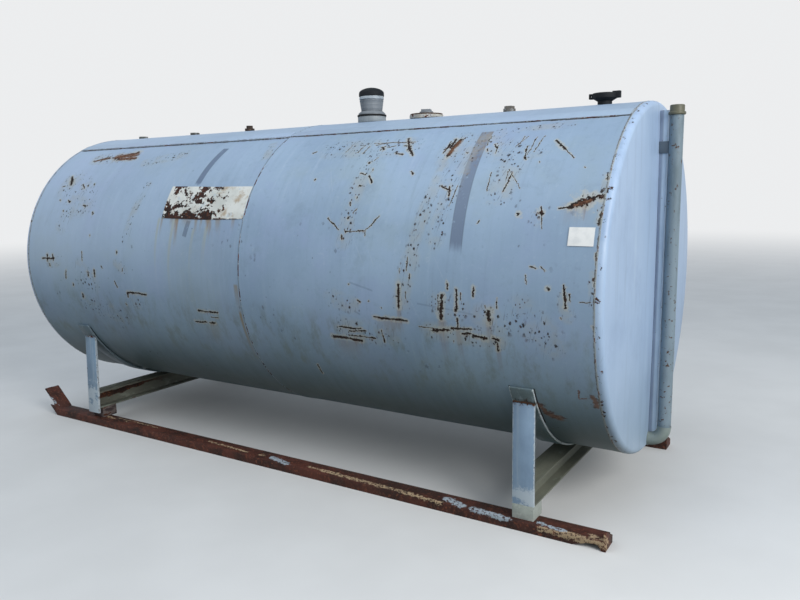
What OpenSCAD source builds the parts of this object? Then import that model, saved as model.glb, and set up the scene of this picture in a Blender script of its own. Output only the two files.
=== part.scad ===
// Horizontal steel storage tank on two saddles and a pair of skid runners.
// Sizes in millimetres, +Z up, X along the tank, the right head is the one with the standpipe.

/* [Shell] */
// Outside diameter of the shell
tank_d = 1626; // [1200:1:2200]
// Length of the shell from rim to rim
tank_len = 3658; // [3000:1:5000]
// Plate thickness of the shell
shell_t = 4.6; // [3:0.1:10]
// Distance of the girth seam from the left rim
girth_seam = 1830; // [1500:1:2400]
// Width of the girth weld
weld_w = 7; // [3:0.5:15]
// How far the girth weld stands out of the shell
weld_proud = 1.2; // [0.4:0.1:4]
// Gap left between curved plates that lie on each other
plate_gap = 0.3; // [0.2:0.05:1]
// Angle of the long lap seam up from the near side, left course
seam_angle_left = 117; // [95:0.1:140]
// Angle of the long lap seam, right course
seam_angle_right = 116.4; // [95:0.1:140]
// Width of the long lap around the shell
lap_w = 70; // [30:1:150]
// How far the lap's edge stands out
lap_step = 4; // [2:0.1:8]

/* [Heads] */
// Plate thickness of the heads
head_t = 4.6; // [3:0.1:12]
// Straight flange of the head, butted against the shell's rim
head_stand = 9; // [2:0.5:20]
// Radius of the rounded knuckle
knuckle_r = 25; // [10:1:60]
// Rise of the shallow dish from knuckle to centre
dish_rise = 5; // [2:1:60]
// Depth of the vertical stiffener bar on the right head
stiff_depth = 37; // [20:1:80]
// Thickness of the stiffener bar
stiff_t = 9.5; // [5:0.5:20]
// Top end of the stiffener below the shell's top
stiff_top_in = 43; // [35:1:200]
// Clearance of the stiffener's lower end over the outlet elbow
stiff_clear = 2; // [1:0.5:30]
// Radius of the rounded lower corner of the stiffener
stiff_corner = 34; // [5:1:36]

/* [Standpipe] */
// Outside diameter of the standpipe
pipe_d = 60.3; // [33:0.1:90]
// Wall of the standpipe
pipe_wall = 3.9; // [2:0.1:8]
// Centre of the standpipe out from the shell's rim
pipe_out = 107; // [90:1:160]
// Centre line of the outlet pipe above the shell's lowest line
outlet_rise = 43; // [39:1:200]
// Centre line radius of the elbow
elbow_r = 66; // [50:1:68]
// Outside diameter of the elbow's bend
elbow_bend_d = 62.5; // [61:0.5:80]
// Outside diameter of the elbow's two end beads
elbow_d = 65; // [62:1:80]
// Length of each end bead
elbow_end = 4; // [2:0.5:14]
// Diameter of the weld ring where the outlet leaves the head
outlet_ring_d = 71; // [64:1:100]
// Thickness of that ring at the head's face
outlet_ring_t = 2.5; // [1:0.5:12]
// Top of the standpipe below the shell's top
pipe_top_in = 66; // [0:1:300]
// Diameter of the collar below the pipe cap
cap_collar_d = 75; // [64:1:100]
// Height of the collar
cap_collar_h = 14; // [8:1:30]
// Diameter of the pipe cap above the collar
cap_d = 63; // [50:1:90]
// Height of the pipe cap above the collar
cap_h = 30; // [15:1:60]
// Rounded edges of the cap and its collar
cap_round = 3; // [1:0.5:6]
// Height of the pipe bracket bar
bracket_h = 52; // [20:1:80]
// Thickness of the bracket bar
bracket_t = 8; // [4:0.5:15]
// Centre of the bracket below the shell's top
bracket_in = 206; // [80:1:600]

/* [Vent] */
// Place of the emergency vent from the tank's middle
vent_x = 295; // [80:1:480]
// Diameter of the vent's neck
vent_neck_d = 158; // [110:1:240]
// Height of the neck's top above the shell's top
vent_neck_h = 28; // [10:1:80]
// Diameter of the black gasket
vent_gasket_d = 163; // [110:1:240]
// Thickness of the gasket
vent_gasket_t = 10; // [4:1:20]
// Diameter of the vent's flange at its foot
vent_flange_d = 151; // [110:1:240]
// Thickness of the flange
vent_flange_t = 20; // [6:1:30]
// Diameter of the drum at its foot
vent_drum_d1 = 116; // [80:1:220]
// Diameter of the drum at its top
vent_drum_d2 = 134; // [80:1:240]
// Height of the drum
vent_drum_h = 63; // [30:1:140]
// Diameter of the pale ring above the drum
vent_ring_d = 137; // [80:1:240]
// Height of the pale ring
vent_ring_h = 18; // [8:1:40]
// Diameter of the dome cap
vent_dome_d = 141; // [80:1:240]
// Height of the dome cap's skirt
vent_skirt_h = 16; // [4:1:60]
// Rise of the dome above the skirt
vent_dome_h = 32; // [10:1:70]

/* [Covers and plugs] */
// Place of the low round cover from the tank's middle
cover_x = 648; // [600:1:900]
// Diameter of the cover's collar
cover_collar_d = 181; // [100:1:280]
// Height of the collar above the shell's top
cover_collar_h = 14; // [6:1:60]
// Diameter of the cover
cover_d = 174; // [110:1:300]
// Thickness of the cover at its rim
cover_t = 7; // [5:1:30]
// Rise of the cover's slope above its rim
cover_slope = 4; // [1:1:20]
// Width of the cover plug's foot
cover_plug_d = 74; // [30:1:110]
// Height of the plug's foot
cover_foot_h = 8; // [3:1:30]
// Width across the plug's square head
cover_plug_w = 50; // [20:1:80]
// Height of the plug's square head
cover_plug_h = 12; // [5:1:50]
// Place of the hexagon plug from the right rim
hex_in = 700; // [300:1:800]
// Width across flats of the hexagon plug
hex_w = 46; // [30:1:90]
// Height of the hexagon plug over its socket
hex_h = 13; // [8:1:40]
// Diameter of the hexagon plug's socket
hex_socket_d = 62; // [40:1:110]
// Height of the sockets the small plugs are screwed into
socket_h = 15; // [6:1:40]
// Place of the stepped plug from the left rim
step_in = 1193; // [1000:1:1500]
// Diameter of the stepped plug's socket
step_d = 60; // [40:1:120]
// Diameter of the stepped plug's head
step_head_d = 40; // [20:1:70]
// Height of the stepped plug's head
step_head_h = 17; // [5:1:40]
// Place of the nearer flat bung from the left rim
bung_a_in = 700; // [500:1:900]
// Place of the outer flat bung from the left rim
bung_b_in = 183; // [80:1:400]
// Diameter of the flat bungs
bung_d = 60; // [40:1:120]
// Height of the flat bungs above the shell's top
bung_h = 14; // [4:1:30]

/* [Fill cap] */
// Place of the fill neck from the right rim
fill_in = 219; // [120:1:400]
// Diameter of the fill neck
fill_neck_d = 66; // [40:1:110]
// Height of the fill neck above the shell's top
fill_neck_h = 16; // [8:1:80]
// Diameter of the fill cap's lower body
fill_body_d = 108; // [60:1:150]
// Height of the fill cap's lower body
fill_body_h = 13; // [8:1:50]
// Diameter of the cap's lid
fill_lid_d = 112; // [70:1:160]
// Thickness of the cap's lid
fill_lid_t = 24; // [6:1:40]
// Length of each ear past the lid
fill_ear_len = 17; // [5:1:40]
// Width of the ears
fill_ear_w = 24; // [8:1:40]
// Length of the raised block on the right ear
fill_block_len = 36; // [10:1:60]
// Height of the raised block over the lid
fill_block_h = 7; // [3:1:30]
// Diameter of the hole through the left ear
fill_hole_d = 9; // [4:0.5:14]

/* [Sign and label] */
// Length of the sign panel, which ends at the girth seam
sign_len = 610; // [300:1:700]
// Lower edge of the sign panel, degrees above the near side
sign_angle_low = 21.8; // [5:0.1:40]
// Upper edge of the sign panel, degrees above the near side
sign_angle_high = 35.8; // [10:0.1:60]
// Thickness of the sign panel
sign_t = 1.5; // [0.5:0.1:5]
// Right edge of the small label from the right rim
label_in = 18; // [5:1:200]
// Length of the small label
label_len = 101; // [50:1:110]
// Lower edge of the small label, degrees above the near side
label_angle_low = 15.4; // [5:0.1:40]
// Upper edge of the small label
label_angle_high = 20.6; // [6:0.1:45]
// Thickness of the small label
label_t = 0.8; // [0.4:0.1:3]

/* [Saddles] */
// Middle of the left saddle from the left rim
saddle_left_in = 378; // [200:1:900]
// Middle of the right saddle from the right rim
saddle_right_in = 330; // [200:1:600]
// Width of the curved wear plate
strap_w = 108; // [80:1:200]
// Thickness of the wear plate
strap_t = 9.5; // [5:0.5:20]
// Ends of the left wear plate, degrees below level
strap_end_left = 27.6; // [10:0.1:60]
// Ends of the right wear plate, degrees below level
strap_end_right = 28.6; // [10:0.1:60]
// Width of the flat bar legs
leg_w = 102; // [60:1:160]
// Thickness of the flat bar legs
leg_t = 12.7; // [6:0.1:30]
// Outer face of the legs in from the widest line of the shell
leg_inset = 133; // [90:1:260]
// How far the right legs stand left of the strap's middle
leg_shift = 2; // [0:1:8]
// How far the left legs run below the cross beam
leg_left_extra = 31; // [0:1:60]
// How far the foot of the bent near left leg stands out
leg_bent_out = 20; // [1:1:40]
// Depth of the cross beams
beam_h = 105.7; // [80:0.1:160]
// Flange width of the cross beams
beam_w = 103; // [60:1:160]
// Flange thickness of the cross beams
beam_flange_t = 8.8; // [5:0.1:16]
// Web thickness of the cross beams
beam_web_t = 7.1; // [4:0.1:16]
// Height of the spacer tubes under the cross beams
spacer_h = 65.5; // [30:0.5:120]
// Width and depth of the spacer tubes
spacer_w = 100; // [60:1:140]
// Wall of the spacer tubes
spacer_wall = 6.4; // [3:0.1:12]

/* [Runners] */
// How far the runner's middle line lies inside the leg's outer face
runner_inset = 24; // [0:1:60]
// Width of the runner channel
runner_w = 101.6; // [60:0.1:160]
// Height of the runner channel
runner_h = 43.7; // [30:0.1:90]
// Web thickness of the runner channel
runner_web_t = 8.2; // [4:0.1:14]
// Flange thickness of the runner channel
runner_flange_t = 7.5; // [4:0.1:14]
// Right end of the near runner past the shell's rim
runner_right_past = 30; // [0:1:200]
// How much shorter the far runner is at its right end
runner_rear_short = 37; // [0:1:80]
// Start of the upturned end past the shell's left rim
runner_left_past = 2; // [0:1:200]
// Length of the upturned end
runner_tip_len = 186; // [100:1:400]
// Slope of the upturned end in degrees
runner_tip_angle = 42; // [25:1:60]
// Length of the torn gap in the near flange
tear_len = 124; // [60:1:240]
// Flange left standing over the torn gap
tear_left = 19; // [11:0.5:25]
// Flange left between the torn gap and the right end
tear_end = 12; // [6:1:60]
// Thickness of the end lips
lip_t = 10; // [4:1:20]
// Height of a lip's near corner over the runner
lip_rise = 37; // [10:1:60]
// How far a lip's far corner lies below the runner's top
lip_fall = 8; // [0:1:20]

/* [Hidden] */
$fn = 96;
eps = 1;
tank_r = tank_d / 2;
half_len = tank_len / 2;
shell_in_r = tank_r - shell_t;
seam_x = girth_seam - half_len;
strap_r = tank_r + plate_gap;
strap_out_r = strap_r + strap_t;
beam_top = -(strap_out_r + plate_gap);
beam_bottom = beam_top - beam_h;
runner_top = beam_bottom - spacer_h;
ground = runner_top - runner_h;
saddle_left_x = saddle_left_in - half_len;
saddle_right_x = half_len - saddle_right_in;
leg_out = tank_r - leg_inset;
leg_in = leg_out - leg_t;
runner_y = leg_out - runner_inset;
face_x = head_stand + knuckle_r + dish_rise;
stiff_front = half_len + face_x + stiff_depth;
outlet_drop = tank_r - outlet_rise;
stiff_top = tank_r - stiff_top_in;
stiff_bottom = outlet_drop - elbow_d / 2 - stiff_clear;
pipe_x = half_len + pipe_out;
pipe_top = tank_r - pipe_top_in;
bend_z = elbow_r - outlet_drop;
bore_d = pipe_d - 2 * pipe_wall;
bracket_z = tank_r - bracket_in;
hex_x = half_len - hex_in;
step_x = step_in - half_len;
bung_a_x = bung_a_in - half_len;
bung_b_x = bung_b_in - half_len;
fill_x = half_len - fill_in;
label_x = half_len - label_in - label_len;
runner_right = half_len + runner_right_past;
runner_rear_right = runner_right - runner_rear_short;
runner_kink = -half_len - runner_left_past;
tip_x = runner_tip_len * cos(runner_tip_angle);
tip_z = runner_tip_len * sin(runner_tip_angle);
x_low = runner_kink - tip_x - runner_h * sin(runner_tip_angle);
bend_top = -tank_r / 2;
x_high = pipe_x + cap_collar_d / 2;
frame_x = (x_low + x_high) / 2;
vent_gasket_z = tank_r + vent_neck_h;
vent_flange_z = vent_gasket_z + vent_gasket_t;
vent_drum_z = vent_flange_z + vent_flange_t;
vent_ring_z = vent_drum_z + vent_drum_h;
vent_dome_z = vent_ring_z + vent_ring_h;
cover_z = tank_r + cover_collar_h;
fill_body_z = tank_r + fill_neck_h;

steel_blue = [0.60, 0.70, 0.78];
steel_rust = [0.33, 0.20, 0.16];
pipe_grey = [0.42, 0.46, 0.44];
rubber_black = [0.06, 0.06, 0.07];
sign_white = [0.85, 0.85, 0.82];

// Everything is drawn about the tank axis, then set on the floor with the box centred.
module placed() {
  translate([-frame_x, 0, -ground]) children();
}

// A flat shape in the cross section plane, drawn out along the tank.
module along_x(x0, x1) {
  translate([x0, 0, 0]) rotate([90, 0, 90]) linear_extrude(height = x1 - x0) children();
}

// Ring sector in the cross section, angles from +Y over the top.
module ring_sector(r_in, r_out, a0, a1) {
  reach = 2 * r_out;
  mid = (a0 + a1) / 2;
  intersection() {
    difference() {
      circle(r = r_out);
      circle(r = r_in);
    }
    polygon([[0, 0], [reach * cos(a0), reach * sin(a0)],
      [reach * cos(mid), reach * sin(mid)], [reach * cos(a1), reach * sin(a1)]]);
  }
}

module tube_x(r_out, r_in, x0, x1) {
  translate([x0, 0, 0]) rotate([0, 90, 0]) difference() {
    cylinder(r = r_out, h = x1 - x0);
    translate([0, 0, -eps]) cylinder(r = r_in, h = x1 - x0 + 2 * eps);
  }
}

module shell_left() {
  color(steel_blue) placed() tube_x(tank_r, shell_in_r, -half_len, seam_x - weld_w / 2);
}

module shell_right() {
  color(steel_blue) placed() tube_x(tank_r, shell_in_r, seam_x + weld_w / 2, half_len);
}

// Weld that fills the groove between the two courses.
module girth_weld() {
  color(steel_blue) placed() tube_x(tank_r + weld_proud, shell_in_r, seam_x - weld_w / 2, seam_x + weld_w / 2);
}

// The long lap: the plate's edge stands proud on its lower side and fades out uphill.
module lap_strip(x0, x1, angle) {
  uphill = angle - lap_w / tank_r * 180 / PI;
  along_x(x0, x1) difference() {
    intersection() {
      translate([lap_step * cos(angle), lap_step * sin(angle)]) circle(r = strap_r);
      ring_sector(tank_r - lap_w, tank_r + lap_w, uphill, angle);
    }
    circle(r = strap_r);
  }
}

module lap_left() {
  color(steel_blue) placed() lap_strip(-half_len, seam_x - weld_w / 2, seam_angle_left);
}

module lap_right() {
  color(steel_blue) placed() lap_strip(seam_x + weld_w / 2, half_len, seam_angle_right);
}

// Half section of a head as a filled shape from back outwards: radius across, outwards up.
module head_shape(r, k, back) {
  flat = r - k;
  top = head_stand + k;
  polygon(concat([[0, -back], [r, -back]],
    [for (a = [0 : 10 : 90]) [flat + k * cos(a), head_stand + k * sin(a)]],
    [for (part = [5 : -1 : 0]) [flat * part / 6, top + dish_rise * (1 - part * part / 36)]]));
}

// Flanged head with a rounded knuckle and a shallow dish, outside face towards +X.
module head_solid() {
  rotate([0, 90, 0]) rotate_extrude($fn = 180) difference() {
    head_shape(tank_r, knuckle_r, 0);
    head_shape(tank_r - head_t, knuckle_r - head_t, eps);
  }
}

// The right head's outside as a solid, a hair larger, for cutting what is set on it.
module head_cutter() {
  translate([half_len, 0, 0]) rotate([0, 90, 0]) rotate_extrude($fn = 180)
    head_shape(tank_r + plate_gap, knuckle_r + plate_gap, pipe_out);
}

module head_right() {
  color(steel_blue) placed() translate([half_len, 0, 0]) head_solid();
}

module head_left() {
  color(steel_blue) placed() mirror([1, 0, 0]) translate([half_len, 0, 0]) head_solid();
}

// Flat bar on edge down the middle of the right head, cut to the dish and clear of the elbow.
module head_stiffener() {
  back = half_len + head_stand;
  color(steel_blue) placed() difference() {
    translate([back, -stiff_t / 2, -stiff_bottom])
      cube([stiff_front - back, stiff_t, stiff_top + stiff_bottom]);
    head_cutter();
    translate([stiff_front - stiff_corner, -stiff_t, -stiff_bottom - eps]) difference() {
      cube([stiff_corner + eps, 2 * stiff_t, stiff_corner + eps]);
      translate([0, -eps, stiff_corner + eps]) rotate([-90, 0, 0])
        cylinder(r = stiff_corner, h = 2 * stiff_t + 2 * eps);
    }
    translate([pipe_x - elbow_r, 0, bend_z]) rotate([90, 0, 0]) rotate_extrude(angle = -90)
      translate([elbow_r, 0]) circle(d = elbow_bend_d + 2 * plate_gap);
    translate([pipe_x, 0, bend_z]) cylinder(d = elbow_d + 2 * plate_gap, h = elbow_end + plate_gap);
    translate([pipe_x, 0, bend_z]) cylinder(d = pipe_d + 2 * plate_gap, h = pipe_top - bend_z);
  }
}

// Outlet pipe and its weld ring, cut to the head's face.
module outlet_nipple() {
  ring_end = half_len + head_stand + knuckle_r + outlet_ring_t;
  color(pipe_grey) placed() difference() {
    union() {
      translate([half_len, 0, -outlet_drop]) rotate([0, 90, 0])
        cylinder(d = pipe_d, h = pipe_out - elbow_r - elbow_end);
      translate([half_len, 0, -outlet_drop]) rotate([0, 90, 0])
        cylinder(d = outlet_ring_d, h = ring_end - half_len);
    }
    translate([half_len, 0, -outlet_drop]) rotate([0, 90, 0]) cylinder(d = bore_d, h = pipe_out);
    head_cutter();
  }
}

// Quarter turn from the outlet up to the standpipe, with a bead at each end.
module outlet_elbow() {
  color(pipe_grey) placed() translate([pipe_x - elbow_r, 0, bend_z]) union() {
    rotate([90, 0, 0]) rotate_extrude(angle = -90) translate([elbow_r, 0]) difference() {
      circle(d = elbow_bend_d);
      circle(d = bore_d);
    }
    translate([0, 0, -elbow_r]) rotate([0, -90, 0]) difference() {
      cylinder(d = elbow_d, h = elbow_end);
      translate([0, 0, -eps]) cylinder(d = bore_d, h = elbow_end + 2 * eps);
    }
    translate([elbow_r, 0, 0]) difference() {
      cylinder(d = elbow_d, h = elbow_end);
      translate([0, 0, -eps]) cylinder(d = bore_d, h = elbow_end + 2 * eps);
    }
  }
}

module standpipe() {
  foot = bend_z + elbow_end;
  color(pipe_grey) placed() translate([pipe_x, 0, foot]) difference() {
    cylinder(d = pipe_d, h = pipe_top - foot);
    translate([0, 0, -eps]) cylinder(d = bore_d, h = pipe_top - foot + 2 * eps);
  }
}

// Cap with a beaded collar, closed at the top, standing on the pipe's end.
module pipe_cap() {
  c = cap_collar_d / 2;
  r = cap_d / 2;
  top = cap_collar_h + cap_h;
  color(pipe_grey) placed() translate([pipe_x, 0, pipe_top]) rotate_extrude() polygon([
    [0, cap_collar_h], [bore_d / 2, cap_collar_h], [bore_d / 2, 0], [c - cap_round, 0], [c, cap_round],
    [c, cap_collar_h - cap_round], [c - cap_round, cap_collar_h], [r, cap_collar_h],
    [r, top - cap_round], [r - cap_round, top], [0, top]]);
}

// Flat bar from the head beside the stiffener to the standpipe.
module pipe_bracket() {
  color(pipe_grey) placed() difference() {
    translate([half_len, -stiff_t / 2 - bracket_t, bracket_z - bracket_h / 2])
      cube([pipe_out, bracket_t, bracket_h]);
    head_cutter();
    translate([pipe_x, 0, bracket_z - bracket_h]) cylinder(d = pipe_d + 2 * plate_gap, h = 2 * bracket_h);
  }
}

// A round piece standing on the shell, its foot cut to the plate it sits on.
module on_shell(x, rise, d) {
  foot = tank_r - d / 2;
  difference() {
    translate([x, 0, foot]) cylinder(d = d, h = tank_r + rise - foot);
    translate([-half_len, 0, 0]) rotate([0, 90, 0]) cylinder(r = strap_r, h = tank_len, $fn = 180);
  }
}

module vent_neck() {
  color(steel_blue) placed() on_shell(vent_x, vent_neck_h, vent_neck_d);
}

module vent_gasket() {
  color(rubber_black) placed() translate([vent_x, 0, vent_gasket_z])
    cylinder(d = vent_gasket_d, h = vent_gasket_t);
}

// Flange with a sloping shoulder up to the drum.
module vent_flange() {
  color(steel_blue) placed() translate([vent_x, 0, vent_flange_z]) union() {
    cylinder(d = vent_flange_d, h = vent_flange_t / 2);
    translate([0, 0, vent_flange_t / 2])
      cylinder(d1 = vent_flange_d, d2 = (vent_flange_d + vent_drum_d1) / 2, h = vent_flange_t / 2);
  }
}

module vent_drum() {
  color(steel_blue) placed() translate([vent_x, 0, vent_drum_z])
    cylinder(d1 = vent_drum_d1, d2 = vent_drum_d2, h = vent_drum_h);
}

module vent_ring() {
  color(steel_blue) placed() translate([vent_x, 0, vent_ring_z])
    cylinder(d = vent_ring_d, h = vent_ring_h);
}

// Weather cap: a short skirt and a low dome.
module vent_dome() {
  r = vent_dome_d / 2;
  color(rubber_black) placed() translate([vent_x, 0, vent_dome_z]) rotate_extrude() polygon(
    concat([[0, 0], [r, 0]], [for (a = [0 : 10 : 90]) [r * cos(a), vent_skirt_h + vent_dome_h * sin(a)]]));
}

module cover_collar() {
  color(steel_blue) placed() on_shell(cover_x, cover_collar_h, cover_collar_d);
}

module cover_plate() {
  color(steel_blue) placed() translate([cover_x, 0, cover_z]) union() {
    cylinder(d = cover_d, h = cover_t);
    translate([0, 0, cover_t]) cylinder(d1 = cover_d - 2 * cover_t, d2 = cover_plug_d, h = cover_slope);
  }
}

// Plug with a round foot and a square head.
module cover_plug() {
  color(pipe_grey) placed() translate([cover_x, 0, cover_z + cover_t + cover_slope]) rotate([0, 0, 20]) union() {
    cylinder(d = cover_plug_d, h = cover_foot_h);
    translate([-cover_plug_w / 2, -cover_plug_w / 2, cover_foot_h])
      cube([cover_plug_w, cover_plug_w, cover_plug_h]);
  }
}

// Hexagon plug in its socket.
module hex_plug() {
  color(steel_rust) placed() union() {
    on_shell(hex_x, socket_h, hex_socket_d);
    translate([hex_x, 0, tank_r + socket_h]) rotate([0, 0, 10])
      linear_extrude(height = hex_h) circle(d = hex_w / cos(30), $fn = 6);
  }
}

// Round socket with a narrower round plug head.
module step_plug() {
  color(steel_rust) placed() union() {
    on_shell(step_x, socket_h, step_d);
    translate([step_x, 0, tank_r + socket_h]) cylinder(d = step_head_d, h = step_head_h);
  }
}

module bung_a() {
  color(pipe_grey) placed() on_shell(bung_a_x, bung_h, bung_d);
}

module bung_b() {
  color(pipe_grey) placed() on_shell(bung_b_x, bung_h, bung_d);
}

module fill_neck() {
  color(steel_blue) placed() on_shell(fill_x, fill_neck_h, fill_neck_d);
}

module fill_body() {
  color(rubber_black) placed() translate([fill_x, 0, fill_body_z])
    cylinder(d1 = fill_neck_d, d2 = fill_body_d, h = fill_body_h);
}

// Lid with a drilled ear on the left and a raised ear on the right.
module fill_lid() {
  r = fill_lid_d / 2;
  block_x = r + fill_ear_len - fill_block_len;
  color(rubber_black) placed() translate([fill_x, 0, fill_body_z + fill_body_h]) difference() {
    union() {
      cylinder(d = fill_lid_d, h = fill_lid_t);
      translate([-r - fill_ear_len, -fill_ear_w / 2, 0]) cube([r, fill_ear_w, fill_lid_t]);
      translate([block_x, -fill_ear_w / 2, 0])
        cube([fill_block_len, fill_ear_w, fill_lid_t + fill_block_h]);
    }
    translate([-r - fill_ear_len / 2, fill_ear_w, fill_lid_t / 2]) rotate([90, 0, 0])
      cylinder(d = fill_hole_d, h = 2 * fill_ear_w);
  }
}

module plate_on_shell(x0, x1, t, low, high) {
  along_x(x0, x1) ring_sector(strap_r, strap_r + t, 180 - high, 180 - low);
}

module sign_panel() {
  end = seam_x - weld_w / 2 - weld_proud;
  color(sign_white) placed() plate_on_shell(end - sign_len, end, sign_t, sign_angle_low, sign_angle_high);
}

module label_plate() {
  color(sign_white) placed()
    plate_on_shell(label_x, label_x + label_len, label_t, label_angle_low, label_angle_high);
}

module strap(x, end_angle) {
  along_x(x - strap_w / 2, x + strap_w / 2)
    ring_sector(strap_r, strap_out_r, 180 + end_angle, 360 - end_angle);
}

module strap_left() {
  color(steel_blue) placed() strap(saddle_left_x, strap_end_left);
}

module strap_right() {
  color(steel_blue) placed() strap(saddle_right_x, strap_end_right);
}

// Leg on the near side: a flat bar whose top is cut to the wear plate, its foot pushed out.
module leg(x, foot, bent) {
  difference() {
    along_x(x - leg_w / 2, x + leg_w / 2)
      polygon([[-leg_out, 0], [-leg_in, 0], [-leg_in, bend_top], [-leg_in - bent, foot],
        [-leg_out - bent, foot], [-leg_out, bend_top]]);
    translate([x - leg_w, 0, 0]) rotate([0, 90, 0])
      cylinder(r = strap_out_r + plate_gap, h = 2 * leg_w, $fn = 180);
  }
}

module leg_front_left() {
  color(steel_blue) placed() leg(saddle_left_x, beam_bottom - leg_left_extra, leg_bent_out);
}

module leg_front_right() {
  color(steel_blue) placed() leg(saddle_right_x - leg_shift, beam_bottom, 0);
}

module leg_rear_left() {
  color(steel_blue) placed() mirror([0, 1, 0]) leg(saddle_left_x, beam_bottom - leg_left_extra, 0);
}

module leg_rear_right() {
  color(steel_blue) placed() mirror([0, 1, 0]) leg(saddle_right_x - leg_shift, beam_bottom, 0);
}

// Wide flange beam across the skid, between the legs, its near end run on by more.
module cross_beam(x, more) {
  w = beam_w / 2;
  f = beam_flange_t;
  b = beam_web_t / 2;
  translate([x, leg_in, beam_bottom]) rotate([90, 0, 0]) linear_extrude(height = 2 * leg_in + more)
    polygon([[-w, 0], [w, 0], [w, f], [b, f], [b, beam_h - f], [w, beam_h - f], [w, beam_h],
      [-w, beam_h], [-w, beam_h - f], [-b, beam_h - f], [-b, f], [-w, f]]);
}

module cross_beam_left() {
  foot = beam_bottom - leg_left_extra;
  color(steel_rust) placed() difference() {
    cross_beam(saddle_left_x, leg_bent_out);
    along_x(saddle_left_x - beam_w, saddle_left_x + beam_w)
      polygon([[-leg_in, bend_top], [-leg_in - leg_bent_out, foot], [-tank_r, foot], [-tank_r, bend_top]]);
  }
}

module cross_beam_right() {
  color(steel_rust) placed() cross_beam(saddle_right_x - leg_shift, 0);
}

// Square tube stub between beam and runner.
module spacer(x, outer) {
  translate([x - spacer_w / 2, -outer, runner_top]) difference() {
    cube([spacer_w, spacer_w, spacer_h]);
    translate([spacer_wall, spacer_wall, -eps])
      cube([spacer_w - 2 * spacer_wall, spacer_w - 2 * spacer_wall, spacer_h + 2 * eps]);
  }
}

module spacers_left() {
  color(steel_rust) placed() union() {
    spacer(saddle_left_x, leg_in);
    mirror([0, 1, 0]) spacer(saddle_left_x, leg_in);
  }
}

module spacers_right() {
  color(steel_rust) placed() union() {
    spacer(saddle_right_x - leg_shift, leg_out);
    mirror([0, 1, 0]) spacer(saddle_right_x - leg_shift, leg_out);
  }
}

// Side view of a runner up to its right end: straight, then turned up on the left.
module runner_side(right) {
  k = runner_kink;
  end_x = k - tip_x;
  end_z = runner_top + tip_z;
  polygon([[right, ground], [right, runner_top], [k, runner_top], [end_x, end_z],
    [x_low, end_z - runner_h * cos(runner_tip_angle)], [k - runner_h * tan(runner_tip_angle / 2), ground]]);
}

// What is cut away between the two flanges, run on past the ends.
module runner_under(right) {
  k = runner_kink - runner_web_t * tan(runner_tip_angle / 2);
  z = runner_top - runner_web_t;
  d = 2 * runner_h;
  polygon([[right + eps, ground - d], [right + eps, z], [k, z], [k - 2 * tip_x, z + 2 * tip_z],
    [k - 2 * tip_x - d, z], [k - d, ground - d]]);
}

module runner_channel(right) {
  inner = runner_w - 2 * runner_flange_t;
  difference() {
    rotate([90, 0, 0]) translate([0, 0, -runner_w / 2]) linear_extrude(height = runner_w) runner_side(right);
    rotate([90, 0, 0]) translate([0, 0, -inner / 2]) linear_extrude(height = inner) runner_under(right);
  }
}

// Bent plate across a runner's right end, highest at its near corner.
module runner_lip(right) {
  w = runner_w / 2;
  along_x(right, right + lip_t) polygon([[-w, ground], [w, ground], [w, runner_top - lip_fall],
    [-w + lip_rise / 2, runner_top + lip_rise - lip_fall / 2], [-w, runner_top + lip_rise]]);
}

// Near runner: its outer flange is torn away near the right end and on the upturned end.
module runner_front() {
  y = -runner_y;
  arch_r = runner_h - tear_left;
  arch_x = runner_right - tear_end - arch_r;
  color(steel_rust) placed() union() {
    difference() {
      translate([0, y, 0]) runner_channel(runner_right);
      translate([arch_x, y, ground]) rotate([90, 0, 0]) cylinder(r = arch_r, h = runner_w);
      translate([0, y, 0]) rotate([90, 0, 0]) linear_extrude(height = runner_w) polygon([
        [arch_x, ground + arch_r], [arch_x, ground - eps],
        [runner_right - tear_end - tear_len, ground - eps], [arch_x - arch_r, ground + arch_r - 2 * eps]]);
      translate([runner_kink - runner_tip_len - runner_h, y - runner_w, runner_top + tear_left])
        cube([runner_tip_len, runner_w / 2 + runner_flange_t, runner_tip_len]);
    }
    translate([0, y, 0]) runner_lip(runner_right);
  }
}

module runner_rear() {
  color(steel_rust) placed() translate([0, runner_y, 0]) union() {
    runner_channel(runner_rear_right);
    runner_lip(runner_rear_right);
  }
}

shell_left();
shell_right();
girth_weld();
lap_left();
lap_right();
head_left();
head_right();
head_stiffener();
outlet_nipple();
outlet_elbow();
standpipe();
pipe_cap();
pipe_bracket();
vent_neck();
vent_gasket();
vent_flange();
vent_drum();
vent_ring();
vent_dome();
cover_collar();
cover_plate();
cover_plug();
hex_plug();
step_plug();
bung_a();
bung_b();
fill_neck();
fill_body();
fill_lid();
sign_panel();
label_plate();
strap_left();
strap_right();
leg_front_left();
leg_front_right();
leg_rear_left();
leg_rear_right();
cross_beam_left();
cross_beam_right();
spacers_left();
spacers_right();
runner_front();
runner_rear();
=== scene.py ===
# %% [markdown]
# # A horizontal storage tank on skid runners
# The real object is a welded steel tank, 3.66 m long and 1.63 m across. It lies on two saddles,
# and the saddles stand on cross beams and two runners, so that it can be dragged about a yard.
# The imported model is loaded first: its pieces are the skeleton that everything here follows.

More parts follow.
